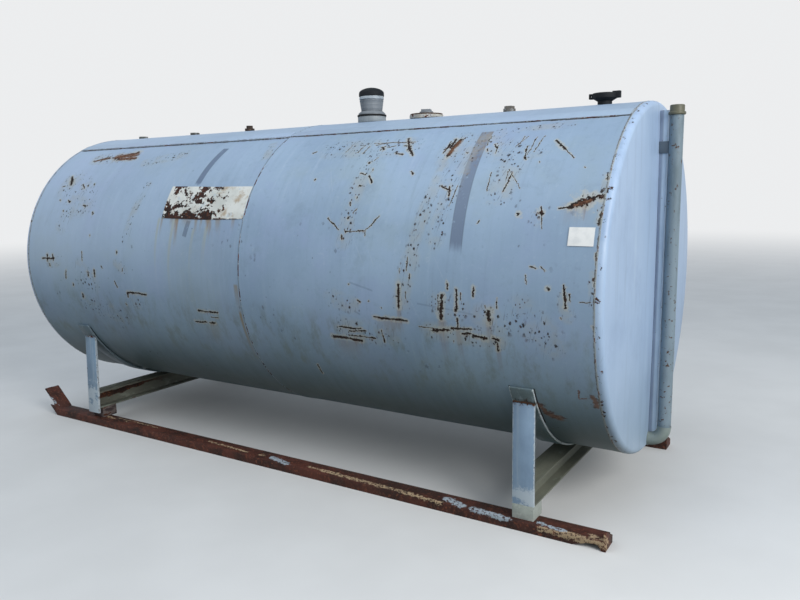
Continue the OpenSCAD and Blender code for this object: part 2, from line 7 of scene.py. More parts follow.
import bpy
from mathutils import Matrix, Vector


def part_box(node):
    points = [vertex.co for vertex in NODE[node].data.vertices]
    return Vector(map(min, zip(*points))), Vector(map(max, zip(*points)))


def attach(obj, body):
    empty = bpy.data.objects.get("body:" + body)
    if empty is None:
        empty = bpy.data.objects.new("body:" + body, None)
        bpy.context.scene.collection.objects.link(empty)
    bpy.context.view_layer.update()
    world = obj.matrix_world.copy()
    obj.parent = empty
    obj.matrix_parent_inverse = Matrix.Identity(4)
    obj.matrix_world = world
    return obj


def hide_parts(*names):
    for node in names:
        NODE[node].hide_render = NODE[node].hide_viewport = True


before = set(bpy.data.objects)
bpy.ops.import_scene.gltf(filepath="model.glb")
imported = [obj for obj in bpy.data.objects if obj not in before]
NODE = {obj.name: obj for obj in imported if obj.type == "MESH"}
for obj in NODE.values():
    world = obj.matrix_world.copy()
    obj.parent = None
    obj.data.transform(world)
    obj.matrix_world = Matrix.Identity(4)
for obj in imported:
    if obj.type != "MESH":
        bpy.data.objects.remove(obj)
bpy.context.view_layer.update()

import math

import bmesh
import bpy
from mathutils import Matrix, Vector

print("pieces in the packed model:", len(NODE))

# %% [markdown]
# ## Places that everything shares
# A tank is drawn from its axis. Its height over the floor, its radius and the places of the rims
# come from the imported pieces, so that a change of size there carries through to here.

# %% The tank's main places
shell_low, shell_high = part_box("shell_left")
right_low, right_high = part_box("shell_right")
AXIS_Z = (shell_low[2] + shell_high[2]) / 2
TANK_R = (shell_high[2] - shell_low[2]) / 2
LEFT_RIM = shell_low[0]
RIGHT_RIM = right_high[0]
SEAM_X = (shell_high[0] + right_low[0]) / 2
LAP_ANGLES = {"left": 62.6, "right": 63.3}  # lower edges of the lapped plates, degrees up from the side
LEG_TOP_Z = 0.576
RUNNER_TOP_Z = 0.0437
print("axis %.4f  radius %.4f  rims %.4f %.4f  seam %.4f" % (AXIS_Z, TANK_R, LEFT_RIM, RIGHT_RIM, SEAM_X))

# %% [markdown]
# ## The camera
# The photograph was taken standing, a few metres off the near right corner, with a short lens.
# The lens and the place were worked out from the tank's rims, its seam and the runners. The camera
# is turned by three angles: round the upright, down, and a slight roll.

# %% Camera
CAMERA_PLACE = (2.6405, -3.471, 1.4895)
CAMERA_TURN = (31.983, -8.931, -0.970)
LENS_MM = 32.5


def camera_turn(yaw, pitch, roll):
    ahead = Vector((-math.sin(yaw) * math.cos(pitch), math.cos(yaw) * math.cos(pitch), math.sin(pitch)))
    side = Vector((math.cos(yaw), math.sin(yaw), 0))
    up = side.cross(ahead)
    side_rolled = math.cos(roll) * side + math.sin(roll) * up
    up_rolled = math.cos(roll) * up - math.sin(roll) * side
    return Matrix((side_rolled, up_rolled, -ahead)).transposed()


camera_data = bpy.data.cameras.new("camera")
camera_data.lens = LENS_MM
camera_data.sensor_width = 36
camera_data.sensor_fit = "HORIZONTAL"
camera = bpy.data.objects.new("camera", camera_data)
bpy.context.scene.collection.objects.link(camera)
turn = camera_turn(*(math.radians(angle) for angle in CAMERA_TURN))
camera.matrix_world = Matrix.Translation(CAMERA_PLACE) @ turn.to_4x4()
bpy.context.scene.camera = camera
print("camera at", [round(v, 3) for v in camera.location], "lens", camera_data.lens)

# %% [markdown]
# ## Helpers for modelling by hand
# Every new piece is made as it would be by hand: a primitive, then edit mode, then operators.
# An operator acts on all that is selected, so everything is deselected first, and faces and
# edges are then picked in code by their place.

# %% Selecting
def nothing_selected():
    if bpy.context.mode != "OBJECT":
        bpy.ops.object.mode_set(mode="OBJECT")
    bpy.ops.object.select_all(action="DESELECT")


def only(piece):
    nothing_selected()
    piece.select_set(True)
    bpy.context.view_layer.objects.active = piece


def all_selected():
    bpy.ops.mesh.select_all(action="SELECT")


def open_edit(piece):
    only(piece)
    bpy.ops.object.mode_set(mode="EDIT")
    all_selected()


def close_edit():
    bpy.ops.object.mode_set(mode="OBJECT")


def pick(piece, kind, test):
    """Selects the vertices or faces for which test is true; returns how many."""
    bpy.ops.mesh.select_mode(type=kind)
    bpy.ops.mesh.select_all(action="DESELECT")
    mesh = bmesh.from_edit_mesh(piece.data)
    chosen = [item for item in {"VERT": mesh.verts, "FACE": mesh.faces}[kind] if test(item)]
    for item in chosen:
        item.select_set(True)
    bmesh.update_edit_mesh(piece.data)
    return len(chosen)


# %% Finishing
def settle(piece, name, angle=35):
    """Applies the place, names the piece and shades it smooth up to an angle."""
    piece.name = name
    piece.data.name = name
    only(piece)
    bpy.ops.object.transform_apply(location=True, rotation=True, scale=True)
    if angle:
        bpy.ops.object.shade_smooth_by_angle(angle=math.radians(angle))
    else:
        bpy.ops.object.shade_flat()
    piece.select_set(False)
    return piece


def use(piece, modifier, **settings):
    """Adds a modifier, sets it and applies it."""
    only(piece)
    added = piece.modifiers.new("step", modifier)
    for key, value in settings.items():
        setattr(added, key, value)
    bpy.ops.object.modifier_apply(modifier=added.name)


def extrude(move):
    bpy.ops.mesh.extrude_region_move(TRANSFORM_OT_translate={"value": move})


def nudge(offset, seed):
    """Moves every selected point a little, each its own way."""
    bpy.ops.transform.vertex_random(offset=offset, uniform=1.0, normal=0.0, seed=seed)


def outward(piece):
    open_edit(piece)
    bpy.ops.mesh.remove_doubles(threshold=0.00002)
    bpy.ops.mesh.normals_make_consistent(inside=False)
    close_edit()


def finished(piece, material, slot, *nodes):
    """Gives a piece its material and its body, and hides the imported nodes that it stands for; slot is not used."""
    piece.data.materials.clear()
    piece.data.materials.append(material)
    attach(piece, "root")
    if nodes:
        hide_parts(*nodes)
    print("%-22s %6d triangles" % (piece.name, sum(len(face.vertices) - 2 for face in piece.data.polygons)))


# %% [markdown]
# ## Round pieces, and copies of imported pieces
# A round piece is an outline drawn in section, point by point, and spun. Bars and plates start
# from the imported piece. Its loose triangles are merged, and a bevel breaks its sharp edges, as no
# real edge is perfectly sharp: that thin line of light is what makes steel look like steel.

# %% Spinning an outline
def single_point():
    """A new piece of one point, in edit mode."""
    nothing_selected()
    bpy.ops.mesh.primitive_plane_add(size=0.002, location=(0, 0, 0))
    piece = bpy.context.active_object
    open_edit(piece)
    bpy.ops.mesh.merge(type="CENTER")
    return piece


def turned(name, outline, centre, axis="Z", steps=64, angle=35, ripple=0, seed=1):
    """outline holds (radius, height) in millimetres."""
    piece = single_point()
    points = [Vector((r, 0, h)) / 1000 if axis == "Z" else Vector((h, 0, r)) / 1000 for r, h in outline]
    bpy.ops.transform.translate(value=points[0])
    for before, after in zip(points, points[1:]):
        extrude(after - before)
    all_selected()
    spin_axis = (0, 0, 1) if axis == "Z" else (1, 0, 0)
    bpy.ops.mesh.spin(steps=steps, angle=2 * math.pi, center=(0, 0, 0), axis=spin_axis)
    if ripple:
        all_selected()
        nudge(ripple, seed)
    close_edit()
    outward(piece)
    piece.location = centre
    return settle(piece, name, angle)


# %% Copies with broken edges
def edged_copy(node_name, name, edge, segments=2):
    """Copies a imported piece, merges its loose triangles and bevels its sharp edges."""
    mesh = NODE[node_name].data.copy()
    mesh.materials.clear()
    piece = bpy.data.objects.new(name, mesh)
    bpy.context.scene.collection.objects.link(piece)
    open_edit(piece)
    bpy.ops.mesh.remove_doubles(threshold=0.00001)
    bpy.ops.mesh.dissolve_limited(angle_limit=math.radians(1.0))
    close_edit()
    use(piece, "BEVEL", width=edge, segments=segments, limit_method="ANGLE", angle_limit=math.radians(30),
        harden_normals=False)
    return settle(piece, name)


def edged(node_name, name, edge, material, slot="tank_paint", segments=2):
    finished(edged_copy(node_name, name, edge, segments), material, slot, node_name)


# %% [markdown]
# ## Helpers for materials
# A material is a tree of nodes. What a node gives can be written in a sum, and each sign of the
# sum adds a maths node, so that a recipe reads like arithmetic. A paint starts with a ground of
# two tones; washes are then laid over it, each where some noise or mask lets it show.

# %% Values
class Value:
    """What a node gives out."""
    def __init__(self, recipe, socket):
        self.recipe, self.socket = recipe, socket

    def __add__(self, other):
        return self.recipe.math("ADD", self, other)

    def __radd__(self, other):
        return self.recipe.math("ADD", other, self)

    def __sub__(self, other):
        return self.recipe.math("SUBTRACT", self, other)

    def __rsub__(self, other):
        return self.recipe.math("SUBTRACT", other, self)

    def __mul__(self, other):
        return self.recipe.math("MULTIPLY", self, other)

    def __rmul__(self, other):
        return self.recipe.math("MULTIPLY", other, self)

    def __truediv__(self, other):
        return self.recipe.math("DIVIDE", self, other)

    def __abs__(self):
        return self.recipe.math("ABSOLUTE", self)


# %% Adding nodes
class Recipe:
    """Adds nodes to a tree."""
    def __init__(self, tree):
        self.tree = tree

    def node(self, kind):
        return self.tree.nodes.new("ShaderNode" + kind)

    def fill(self, socket, value):
        """Sets a socket to a number, or links it to what another node gives."""
        if isinstance(value, Value):
            value = value.socket
        if isinstance(value, bpy.types.NodeSocket):
            self.tree.links.new(value, socket)
        elif value is not None:
            socket.default_value = value

    def put(self, kind, *inputs, out=0, **settings):
        """Adds a node and fills its sockets in order; out is the output wanted, or several."""
        made = self.node(kind)
        for key, value in settings.items():
            setattr(made, key, value)
        for socket, value in zip(made.inputs, inputs):
            self.fill(socket, value)
        if isinstance(out, tuple):
            return [Value(self, made.outputs[key]) for key in out]
        return Value(self, made.outputs[out])

    def math(self, operation, *values, clamp=False):
        return self.put("Math", *values, operation=operation, use_clamp=clamp)

    def larger(self, a, b):
        return self.math("MAXIMUM", a, b)

    def smaller(self, a, b):
        return self.math("MINIMUM", a, b)

    def vector(self, operation, *values):
        out = 1 if operation in ("DOT_PRODUCT", "LENGTH") else 0
        return self.put("VectorMath", *values, out=out, operation=operation)

    def split(self, place):
        return self.put("SeparateXYZ", place, out=(0, 1, 2))

    def ramp(self, value, low, high, first=0.0, last=1.0, curve="LINEAR"):
        return self.put("MapRange", value, low, high, first, last, interpolation_type=curve)

    def step(self, value, low, high):
        """0 below low, 1 above high, and a soft slope between; falls if low is the larger."""
        if low > high:
            return 1.0 - self.ramp(value, high, low, curve="SMOOTHSTEP")
        return self.ramp(value, low, high, curve="SMOOTHSTEP")

    def mix(self, factor, a, b):
        """Mixes two colours."""
        made = self.node("Mix")
        made.data_type = "RGBA"
        for index, value in ((0, factor), (6, a), (7, b)):
            self.fill(made.inputs[index], (*value, 1) if isinstance(value, tuple) else value)
        return Value(self, made.outputs[2])


def colour(hex_name):
    """A colour as it is seen on a screen, in the linear values that a shader wants."""
    values = [int(hex_name[i:i + 2], 16) / 255 for i in (0, 2, 4)]
    return tuple(v / 12.92 if v <= 0.04045 else ((v + 0.055) / 1.055) ** 2.4 for v in values)


# %% A paint under way
class Paint(Recipe):
    """A material, the piece's own place, and the colour that has been laid on so far."""
    def __init__(self, name):
        self.material = bpy.data.materials.new(name)
        self.material.use_nodes = True
        super().__init__(self.material.node_tree)
        self.shader = self.tree.nodes["Principled BSDF"]
        self.shader.inputs["Specular IOR Level"].default_value = 0.35
        self.place = self.put("TexCoord", out=3)
        self.base = None

    def grain(self, scale, detail=4.0, rough=0.55, stretch=None, shift=(0, 0, 0), turn=(0, 0, 0), at=None):
        """Noise with a grain of 1/scale metres, drawn out where stretch is small."""
        at = at or self.place
        if stretch or any(shift):
            at = self.put("Mapping", at, shift, turn, stretch or (1, 1, 1))
        return self.put("TexNoise", at, None, scale, detail, rough)

    def ground(self, light, deep, noise, low=0.35, high=0.7):
        """The first coat: two tones, mixed by a noise."""
        self.base = self.mix(self.step(noise, low, high), colour(light), colour(deep))

    def lay(self, tone, mask, amount=None):
        """Lays a tone on where mask is 1."""
        if amount is not None:
            mask = mask * amount
        self.base = self.mix(mask, self.base, colour(tone) if isinstance(tone, str) else tone)

    def wash(self, tone, noise, low, high, amount):
        """Lays a tone on where a noise goes from low to high."""
        self.lay(tone, self.step(noise, low, high), amount)

    def rust(self, dark="2a1510", mid="5a2d1c", fresh="94552f"):
        """Rust isn't one brown: near black where it is deep, orange where it is fresh, in fine grains."""
        coarse = self.grain(9, 6, 0.62)
        fine = self.grain(70, 5, 0.6)
        brown = self.mix(self.step(coarse, 0.35, 0.65), colour(dark), colour(mid))
        return self.mix(self.step(fine, 0.52, 0.72), brown, colour(fresh))

    def done(self, rough, height, depth=0.001, strength=0.5):
        """Links colour, roughness and a bump to the shader."""
        self.fill(self.shader.inputs["Base Color"], self.base)
        self.fill(self.shader.inputs["Roughness"], rough)
        bump = self.node("Bump")
        for name, value in (("Strength", strength), ("Distance", depth), ("Height", height)):
            self.fill(bump.inputs[name], value)
        self.fill(self.shader.inputs["Normal"], bump.outputs["Normal"])
        print("%-22s %6d nodes" % (self.material.name, len(self.tree.nodes)))
        return self.material


# %% [markdown]
# ## Marks on the shell
# The shell's scars sit where the tank was scraped, chained down or lifted. Each is a stroke from
# one place to another on the shell: metres along the tank, degrees above its widest line on the
# near side, and a width in millimetres. A small group measures how far a point is from a stroke,
# in widths, and the nearest stroke wins. Noise bends the place first, so that no edge is ruled.

# %% Place on the shell and distance to a stroke
def shell_place(m):
    """Metres along the tank and metres round it, from the widest line on the near side."""
    x, y, z = m.split(m.place)
    height = z - AXIS_Z
    around = m.math("ARCTAN2", height, y * -1.0) * TANK_R
    return x, around, m.put("CombineXYZ", x, around, 0.0)


def start_and_run(x0, a0, x1, a1):
    start = Vector((x0, math.radians(a0) * TANK_R, 0))
    return start, Vector((x1, math.radians(a1) * TANK_R, 0)) - start


def half_metres(width):
    """Half of a width in millimetres."""
    return width / 2000


# %% The group of nodes that measures a stroke
def stroke_group():
    group = bpy.data.node_groups.new("stroke", "ShaderNodeTree")
    for kind, names in (("Vector", ("Place", "Start", "Run")), ("Float", ("Share", "Width", "Hang"))):
        for name in names:
            group.interface.new_socket(name, in_out="INPUT", socket_type="NodeSocket" + kind)
    for name in ("Distance", "Drip"):
        group.interface.new_socket(name, in_out="OUTPUT", socket_type="NodeSocketFloat")
    m = Recipe(group)
    inside = group.nodes.new("NodeGroupInput")
    result = group.nodes.new("NodeGroupOutput")
    place, start, run, share, width, hang = (Value(m, socket) for socket in inside.outputs[:6])
    offset = m.vector("SUBTRACT", place, start)
    along = m.math("MULTIPLY", m.vector("DOT_PRODUCT", offset, run), share, clamp=True)
    foot = m.put("VectorMath", run, None, None, along, operation="SCALE")
    away = m.vector("SUBTRACT", offset, foot)
    m.fill(result.inputs[0], m.vector("LENGTH", away) / width)
    # below a stroke the rust runs: there a step down counts for less
    x, y, z = m.split(away)
    down = m.smaller(y, 0.0) * hang
    up = m.larger(y, 0.0) * 1.6
    hung = m.put("CombineXYZ", x, down + up, 0.0)
    m.fill(result.inputs[1], m.vector("LENGTH", hung) / width)
    return group


STROKE = stroke_group()


# %% Nearest stroke, bands and bends
def nearest_stroke(m, place, strokes, hang=None):
    """Distance to the nearest stroke in half widths, and to its drips if hang is given."""
    nearest = drip = None
    for x0, a0, x1, a1, width in strokes:
        start, run = start_and_run(x0, a0, x1, a1)
        far, low = m.put("Group", place, start, run, 1 / max(run.length_squared, 1e-6), half_metres(width), hang,
                         node_tree=STROKE, out=(0, 1))
        nearest = m.smaller(nearest, far) if nearest else far
        if hang:
            drip = m.smaller(drip, low) if drip else low
    return (nearest, drip) if hang else nearest


def band(m, flat, x0, a0, x1, a1, width):
    """How far a point lies across a band with square ends, in half widths, and along it, from 0 to 1."""
    start, run = start_and_run(x0, a0, x1, a1)
    offset = m.vector("SUBTRACT", flat, start)
    along = m.vector("DOT_PRODUCT", offset, run / run.length_squared)
    side = Vector((-run.y, run.x, 0)).normalized() / half_metres(width)
    return abs(m.vector("DOT_PRODUCT", offset, side)), along


def swing(m, noise, reach):
    """A noise as a shift to both sides."""
    return m.vector("MULTIPLY", m.vector("SUBTRACT", noise, (0.5, 0.5, 0.5)), reach)


# %% Rust marks and chips on both courses
LEFT_RUST = [(-1.519, 52.6, -1.383, 54.3, 12), (-1.325, 54.4, -1.162, 57.8, 30), (-1.288, 53.2, -1.117, 53.2, 18),
    (-1.603, 42.2, -1.558, 38.1, 19), (-1.633, 36.8, -1.615, 37, 8), (-1.44, 37.9, -1.406, 35.7, 9),
    (-1.39, 37, -1.377, 36.7, 6), (-1.329, 37.7, -1.32, 37.3, 9), (-1.51, 29.7, -1.483, 28.9, 10),
    (-1.34, 27.2, -1.316, 26.8, 10), (-1.224, 24, -1.219, 23.5, 10), (-1.593, 29.7, -1.589, 29.5, 8),
    (-1.522, 24.7, -1.518, 24.5, 7), (-1.205, 14, -1.203, 13.8, 7), (-1.673, 3.1, -1.546, 3.4, 9),
    (-1.619, 4.6, -1.621, 2.3, 13), (-1.566, 4.7, -1.557, 3, 11), (-1.598, 0.6, -1.597, 0.2, 11),
    (-1.269, 6.7, -1.266, 3.3, 7), (-1.437, -1.9, -1.448, -5, 10), (-1.216, -1.6, -1.217, -3.3, 11),
    (-1.156, -0.6, -1.159, -3.1, 11), (-1.384, -7.5, -1.384, -7.9, 10), (-1.313, -11.7, -1.318, -13.1, 13),
    (-0.982, -4.6, -0.964, -7, 6), (-1.087, 1.3, -1.076, 0.5, 6), (-0.949, 7.4, -0.945, 7.1, 10),
    (-0.897, 1.1, -0.899, -0.1, 5), (-0.879, -9, -0.721, -9, 10), (-0.882, -9.6, -0.883, -10.9, 8),
    (-0.918, -14, -0.917, -14.2, 8), (-0.316, -13.6, -0.171, -13.5, 9), (-0.365, -18.6, -0.275, -18.2, 9),
    (-0.231, -15.8, -0.179, -15.7, 5), (-0.253, -18.5, -0.214, -18.2, 9), (-1.47, 53.9, -1.4, 55.6, 7),
    (-1.33, 55.9, -1.17, 56.2, 9), (-1.27, 55, -1.15, 55.4, 12)]
RIGHT_RUST = [(0.971, 1.7, 0.969, -5.5, 12), (1.01, -0.3, 1.009, -2.2, 4), (1.214, 3.3, 1.215, 1.5, 8),
    (1.189, -0.4, 1.182, -7.5, 15), (1.171, -0.2, 1.171, -5.1, 4), (1.26, 1.4, 1.254, -4.9, 12),
    (1.279, 0.6, 1.278, -1.5, 5), (1.336, 2.6, 1.336, 0.3, 10), (1.405, -4.1, 1.403, -6.5, 20),
    (1.441, -0.1, 1.441, -3, 5), (1.258, -7.1, 1.257, -10.2, 8), (0.834, -9.3, 1.008, -9.4, 11),
    (0.624, -14.1, 0.751, -13.8, 8), (0.576, -17.8, 0.743, -18.2, 13), (0.678, -15.2, 0.777, -14.5, 6),
    (0.679, -16.7, 0.82, -16.9, 6), (1.067, -11, 1.162, -11, 4), (1.136, -11.7, 1.21, -11.2, 14),
    (1.226, -10.4, 1.32, -10.3, 7), (1.276, -11.9, 1.313, -11.8, 8), (1.327, -12.3, 1.39, -12.8, 11),
    (1.422, -12.4, 1.444, -12.8, 13), (1.434, -13.7, 1.435, -16, 10), (0.862, -13.6, 0.869, -17.7, 7),
    (1.72, 4.5, 1.732, -1.5, 8), (1.743, 2.4, 1.747, 0.2, 4), (1.786, 0.2, 1.829, 0.4, 3),
    (1.658, 3.3, 1.658, 3.2, 9), (1.563, 6.9, 1.567, 4.4, 4), (0.748, -4.1, 0.764, -4.7, 6),
    (0.704, 1.1, 0.706, 1, 5), (0.811, -4.2, 0.812, -4.3, 5), (1.027, 5.3, 1.027, 4.1, 5),
    (1.231, -14.7, 1.231, -15, 6), (1.712, -4.4, 1.713, -4.7, 5), (0.877, -5.9, 0.878, -6, 5),
    (1.39, -2.7, 1.392, -3.3, 5), (1.837, -6.1, 1.838, -6.5, 7), (1.836, 36.6, 1.834, 35, 6),
    (1.837, 25, 1.837, 21.5, 7), (1.836, 13.5, 1.837, 10.5, 5), (1.837, 7, 1.837, 5, 6),
    (0.812, 56.7, 0.859, 50.6, 10), (0.859, 50.6, 0.901, 46.9, 11), (0.802, 48.3, 0.84, 47.6, 9),
    (0.825, 52.4, 0.863, 51.7, 8), (1.109, 53.7, 1.09, 46.2, 18), (1.084, 54.4, 1.084, 50.1, 13),
    (1.065, 53.4, 1.068, 50.1, 6), (1.577, 51, 1.626, 47.1, 10), (1.626, 47.1, 1.678, 43.2, 5),
    (1.668, 26.1, 1.712, 26.7, 7), (1.715, 26.9, 1.745, 27.5, 20), (1.745, 27.5, 1.772, 28.3, 30),
    (1.772, 28.4, 1.792, 28.9, 26), (1.795, 29.1, 1.812, 29.7, 12), (1.812, 29.9, 1.842, 29.9, 5),
    (1.822, 29.3, 1.84, 29.1, 17), (1.121, 33.6, 1.171, 32.1, 8), (1.42, 54.1, 1.415, 50.5, 4),
    (1.436, 54.0, 1.402, 49.0, 3), (1.479, 53.7, 1.471, 45.1, 3), (1.454, 49.1, 1.465, 43.4, 4),
    (1.411, 38.7, 1.41, 35.2, 3), (1.318, 49.8, 1.317, 46.3, 5), (1.254, 55.2, 1.263, 50.0, 4),
    (1.334, 38.5, 1.342, 31.8, 3), (1.411, 39.3, 1.486, 32.5, 3), (1.16, 33.6, 1.167, 30.4, 8),
    (1.197, 33.9, 1.18, 26.7, 3), (0.551, 22.5, 0.621, 18.7, 5), (0.663, 18, 0.774, 18.4, 4),
    (0.774, 18.6, 0.835, 23.3, 5), (0.774, 18.6, 0.775, 17, 5), (0.663, 18, 0.665, 17.9, 8),
    (0.644, 16.8, 0.65, 15.4, 6), (0.663, 22.7, 0.664, 22.6, 8), (0.7, 25.7, 0.688, 24.3, 5),
    (0.656, 28.2, 0.66, 27.1, 6), (0.685, 30, 0.686, 29.7, 7), (0.66, 39.5, 0.685, 39, 8),
    (0.711, 38.5, 0.741, 35.7, 8), (0.676, 34.6, 0.688, 34.4, 7), (0.675, 44.4, 0.679, 43.9, 8),
    (0.712, 46.6, 0.698, 45.2, 5), (0.698, 52, 0.718, 50.8, 11), (0.714, 41.3, 0.716, 40.9, 7),
    (0.934, 39.7, 0.951, 38.5, 7), (0.499, 50.1, 0.51, 54.1, 4), (0.574, 49.8, 0.586, 53.7, 5),
    (0.608, 49.1, 0.621, 52.9, 4), (0.653, 53.4, 0.705, 54.3, 5), (0.698, 50.3, 0.712, 52.5, 6),
    (0.734, 51.8, 0.773, 52.7, 5), (1.501, 24.6, 1.503, 24.4, 12), (1.593, 26.4, 1.601, 24, 6),
    (1.597, 24.8, 1.602, 24.5, 14), (1.602, 24, 1.612, 19.9, 3), (1.431, 38.2, 1.414, 31.6, 6),
    (1.512, 53.9, 1.495, 46.3, 3), (1.455, 47.4, 1.473, 43.1, 5), (1.536, 42.1, 1.537, 41.9, 6),
    (1.298, 50.5, 1.317, 48.5, 6), (1.271, 48.2, 1.276, 47.4, 8), (1.12, 54.4, 1.124, 53.9, 7),
    (1.179, 47.2, 1.182, 46.9, 6), (0.64, 54.7, 0.87, 54.2, 5), (1.076, 52.5, 1.06, 47.5, 7),
    (1.013, 10.5, 1.011, 6.5, 5), (0.976, 7, 0.974, 5.5, 4), (0.41, -31.6, 0.41, -36.4, 6), (1.579, 9.2, 1.6, 8.9, 7),
    (1.625, 9.3, 1.641, 8.3, 5), (0.285, 50.6, 0.304, 51.3, 7), (0.396, 37.5, 0.4, 37.3, 8),
    (1.327, 21.4, 1.337, 22.2, 5), (1.735, 39.5, 1.737, 39.3, 6)]
# places with many small specks: the same five numbers, with wide strokes
LEFT_FRECKLES = [(-1.55, 38, -1.35, 30, 230), (-1.45, 24, -1.5, 18, 120), (-0.82, 36.5, -0.88, 12.5, 60),
    (-0.98, 50, -0.7, 54, 90), (-1.3, -2, -1.2, -6, 150), (-1.6, 2, -1.52, 2, 80), (-0.95, 3, -0.88, 0, 60),
    (-0.88, -12, -0.78, -14, 80), (-1.5, 54, -1.2, 55, 120), (-0.05, 58, -0.02, 50, 60), (-1.3, -16, -1.0, -20, 120)]
RIGHT_FRECKLES = [(0.4, 52, 0.85, 52, 150), (0.68, 46, 0.66, 15, 90), (1.12, 54, 1.08, 46, 120),
    (1.11, 44, 1.03, 12, 70), (1.2, 50, 1.14, 16, 90), (1.26, 53, 1.42, 44, 160), (1.42, 42, 1.4, 30, 120),
    (0.6, -4, 0.72, -6, 90), (1.03, 10, 0.98, -4, 100), (1.17, -3, 1.27, -4, 110), (1.38, -6, 1.46, -8, 120),
    (0.65, -14, 0.9, -16, 120), (1.12, -12, 1.44, -13, 90), (1.56, 24, 1.6, 22, 50), (1.72, 1, 1.74, -4, 60),
    (1.828, 38, 1.83, 22, 26), (1.826, 8, 1.828, 0, 26), (1.6, 60, 1.3, 58, 60), (1.55, 47, 1.46, 44, 60),
    (1.55, -4, 1.66, -12, 150)]
print("strokes:", len(LEFT_RUST), "left,", len(RIGHT_RUST), "right")

# %% Runs, thin rust, worn bands and painted shade lines
# a stain or band also has its amount and tone, and a band the amount of rust in it
LEFT_STAINS = [(-0.305, 22, -0.305, -14, 600, 0.24, "98a19b"), (-0.3, 6, -0.3, -36, 480, 0.5, "868f86"),
    (-0.235, -18, -0.235, -31, 90, 0.45, "8d8a74"), (-0.62, 22, -0.615, -9, 22, 0.55, "a9ab93"),
    (-0.5, 22, -0.515, -19, 26, 0.5, "a9ab93"), (-0.334, 18, -0.35, -8, 22, 0.45, "a9ab93"),
    (-0.238, 19, -0.25, 0, 30, 0.45, "a9ab93"), (-0.598, 22, -0.59, 12, 20, 0.6, "8d7a58"),
    (-0.48, 22, -0.462, 8, 34, 0.85, "8d7247"), (-0.52, 22, -0.52, 17, 30, 0.5, "8d7a58"),
    (-0.33, 22, -0.31, 12, 26, 0.7, "8d7a58"), (-0.289, 22, -0.285, 15, 18, 0.6, "8d7a58"),
    (-0.242, 22, -0.19, 13, 44, 0.8, "8d7247"), (-0.17, 22, -0.142, 14, 40, 0.6, "8d7a58"),
    (-0.058, 22, -0.05, 16, 26, 0.5, "8d7a58"), (-0.4, 22, -0.39, 17, 90, 0.45, "8d7a58"),
    (-0.01, -2, -0.008, -16, 34, 0.75, "877c66"), (-0.006, -12, -0.004, -46, 22, 0.95, "847863")]
RIGHT_STAINS = [(0.97, -6, 0.97, -15, 26, 0.5, "7d6247"), (1.184, -8, 1.184, -26, 44, 0.5, "7d6247"),
    (1.258, -10, 1.258, -24, 30, 0.5, "7d6247"), (1.404, -7, 1.404, -22, 36, 0.5, "7d6247"),
    (1.435, -14, 1.435, -28, 26, 0.45, "7d6247"), (0.92, -10, 0.92, -18, 150, 0.35, "84705a"),
    (0.66, -19, 0.66, -29, 150, 0.35, "84705a"), (1.74, 28, 1.74, 18, 120, 0.35, "8b7a66"),
    (1.09, 49, 1.07, 36, 40, 0.4, "8b7a66")]
# patches of thin rust with no clear edge
LEFT_CLOUDS = [(-1.33, 55.4, -1.15, 56.2, 46), (-1.26, 53.4, -1.14, 53.8, 36), (-1.5, 52.5, -1.4, 54.6, 16)]
RIGHT_CLOUDS = [(1.575, -35.5, 1.6, -40.0, 26), (1.6, -39.5, 1.645, -41.0, 40), (1.815, -29.0, 1.828, -32.5, 26),
    (1.112, 53.0, 1.092, 47.0, 20), (1.73, 27.1, 1.785, 28.5, 13), (1.758, -27.0, 1.757, -30.0, 7),
    (1.76, -30.2, 1.79, -29.6, 6)]
LEFT_STRIPES = [(-0.391, 57, -0.414, 36, 42, 0.88, "5c6d86", 0), (-0.384, 20.8, -0.399, 14.5, 30, 0.8, "64758c", 0)]
RIGHT_STRIPES = [(1.225, 58, 1.243, 12.5, 56, 0.85, "64738a", 0.7), (0.707, 1.6, 0.838, -0.7, 8, 0.35, "5f7488", 0),
    (1.065, -3.6, 1.23, -4.7, 7, 0.35, "5b7084", 0), (1.23, -4.7, 1.335, -5.6, 7, 0.3, "5b7084", 0),
    (0.725, -7.8, 0.758, -8.9, 8, 0.4, "5b7084", 0)]
# painted shade: a near-black line on the shell along both sides of each strap, where the strap meets the shell
for strap_name in ("strap_left", "strap_right"):
    low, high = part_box(strap_name)
    for edge_x in (low[0] - 0.0015, high[0] + 0.0015):
        (LEFT_STRIPES if high[0] < SEAM_X else RIGHT_STRIPES).append(
            (edge_x, -28.6, edge_x, -46, 8, 0.95, "16181a", 0))

# %% [markdown]
# ## Floor and light
# A plain pale floor and soft light from above, with a little more from the right, as under an
# overcast sky. The camera sees the floor pale. For the light that it throws back up, the floor
# counts as darker, the way rough gravel and grass are, so that the belly of the tank goes dark.

# %% Floor
BACKDROP = (0.84, 0.85, 0.86, 1)
nothing_selected()
bpy.ops.mesh.primitive_circle_add(vertices=96, radius=60, fill_type="NGON", location=(0, 0, 0))
floor = bpy.context.active_object
settle(floor, "floor", 0)
m = Paint("pale floor")
ray = m.node("LightPath").outputs
seen = m.larger(ray["Is Camera Ray"], m.larger(ray["Is Glossy Ray"], ray["Is Transmission Ray"]))
pale = m.mix(m.step(m.grain(1.5, 3), 0.3, 0.7), (0.66, 0.66, 0.65), (0.70, 0.70, 0.69))
m.fill(m.shader.inputs["Base Color"], m.mix(seen, (0.10, 0.11, 0.085), pale))
m.shader.inputs["Roughness"].default_value = 0.95
m.shader.inputs["Specular IOR Level"].default_value = 0.0
fade = seen * m.step(m.vector("LENGTH", m.place), 4.0, 22.0)
both = m.put("MixShader", fade, m.shader.outputs[0], m.put("Emission", BACKDROP))
m.fill(m.tree.nodes["Material Output"].inputs["Surface"], both)
floor.data.materials.append(m.material)

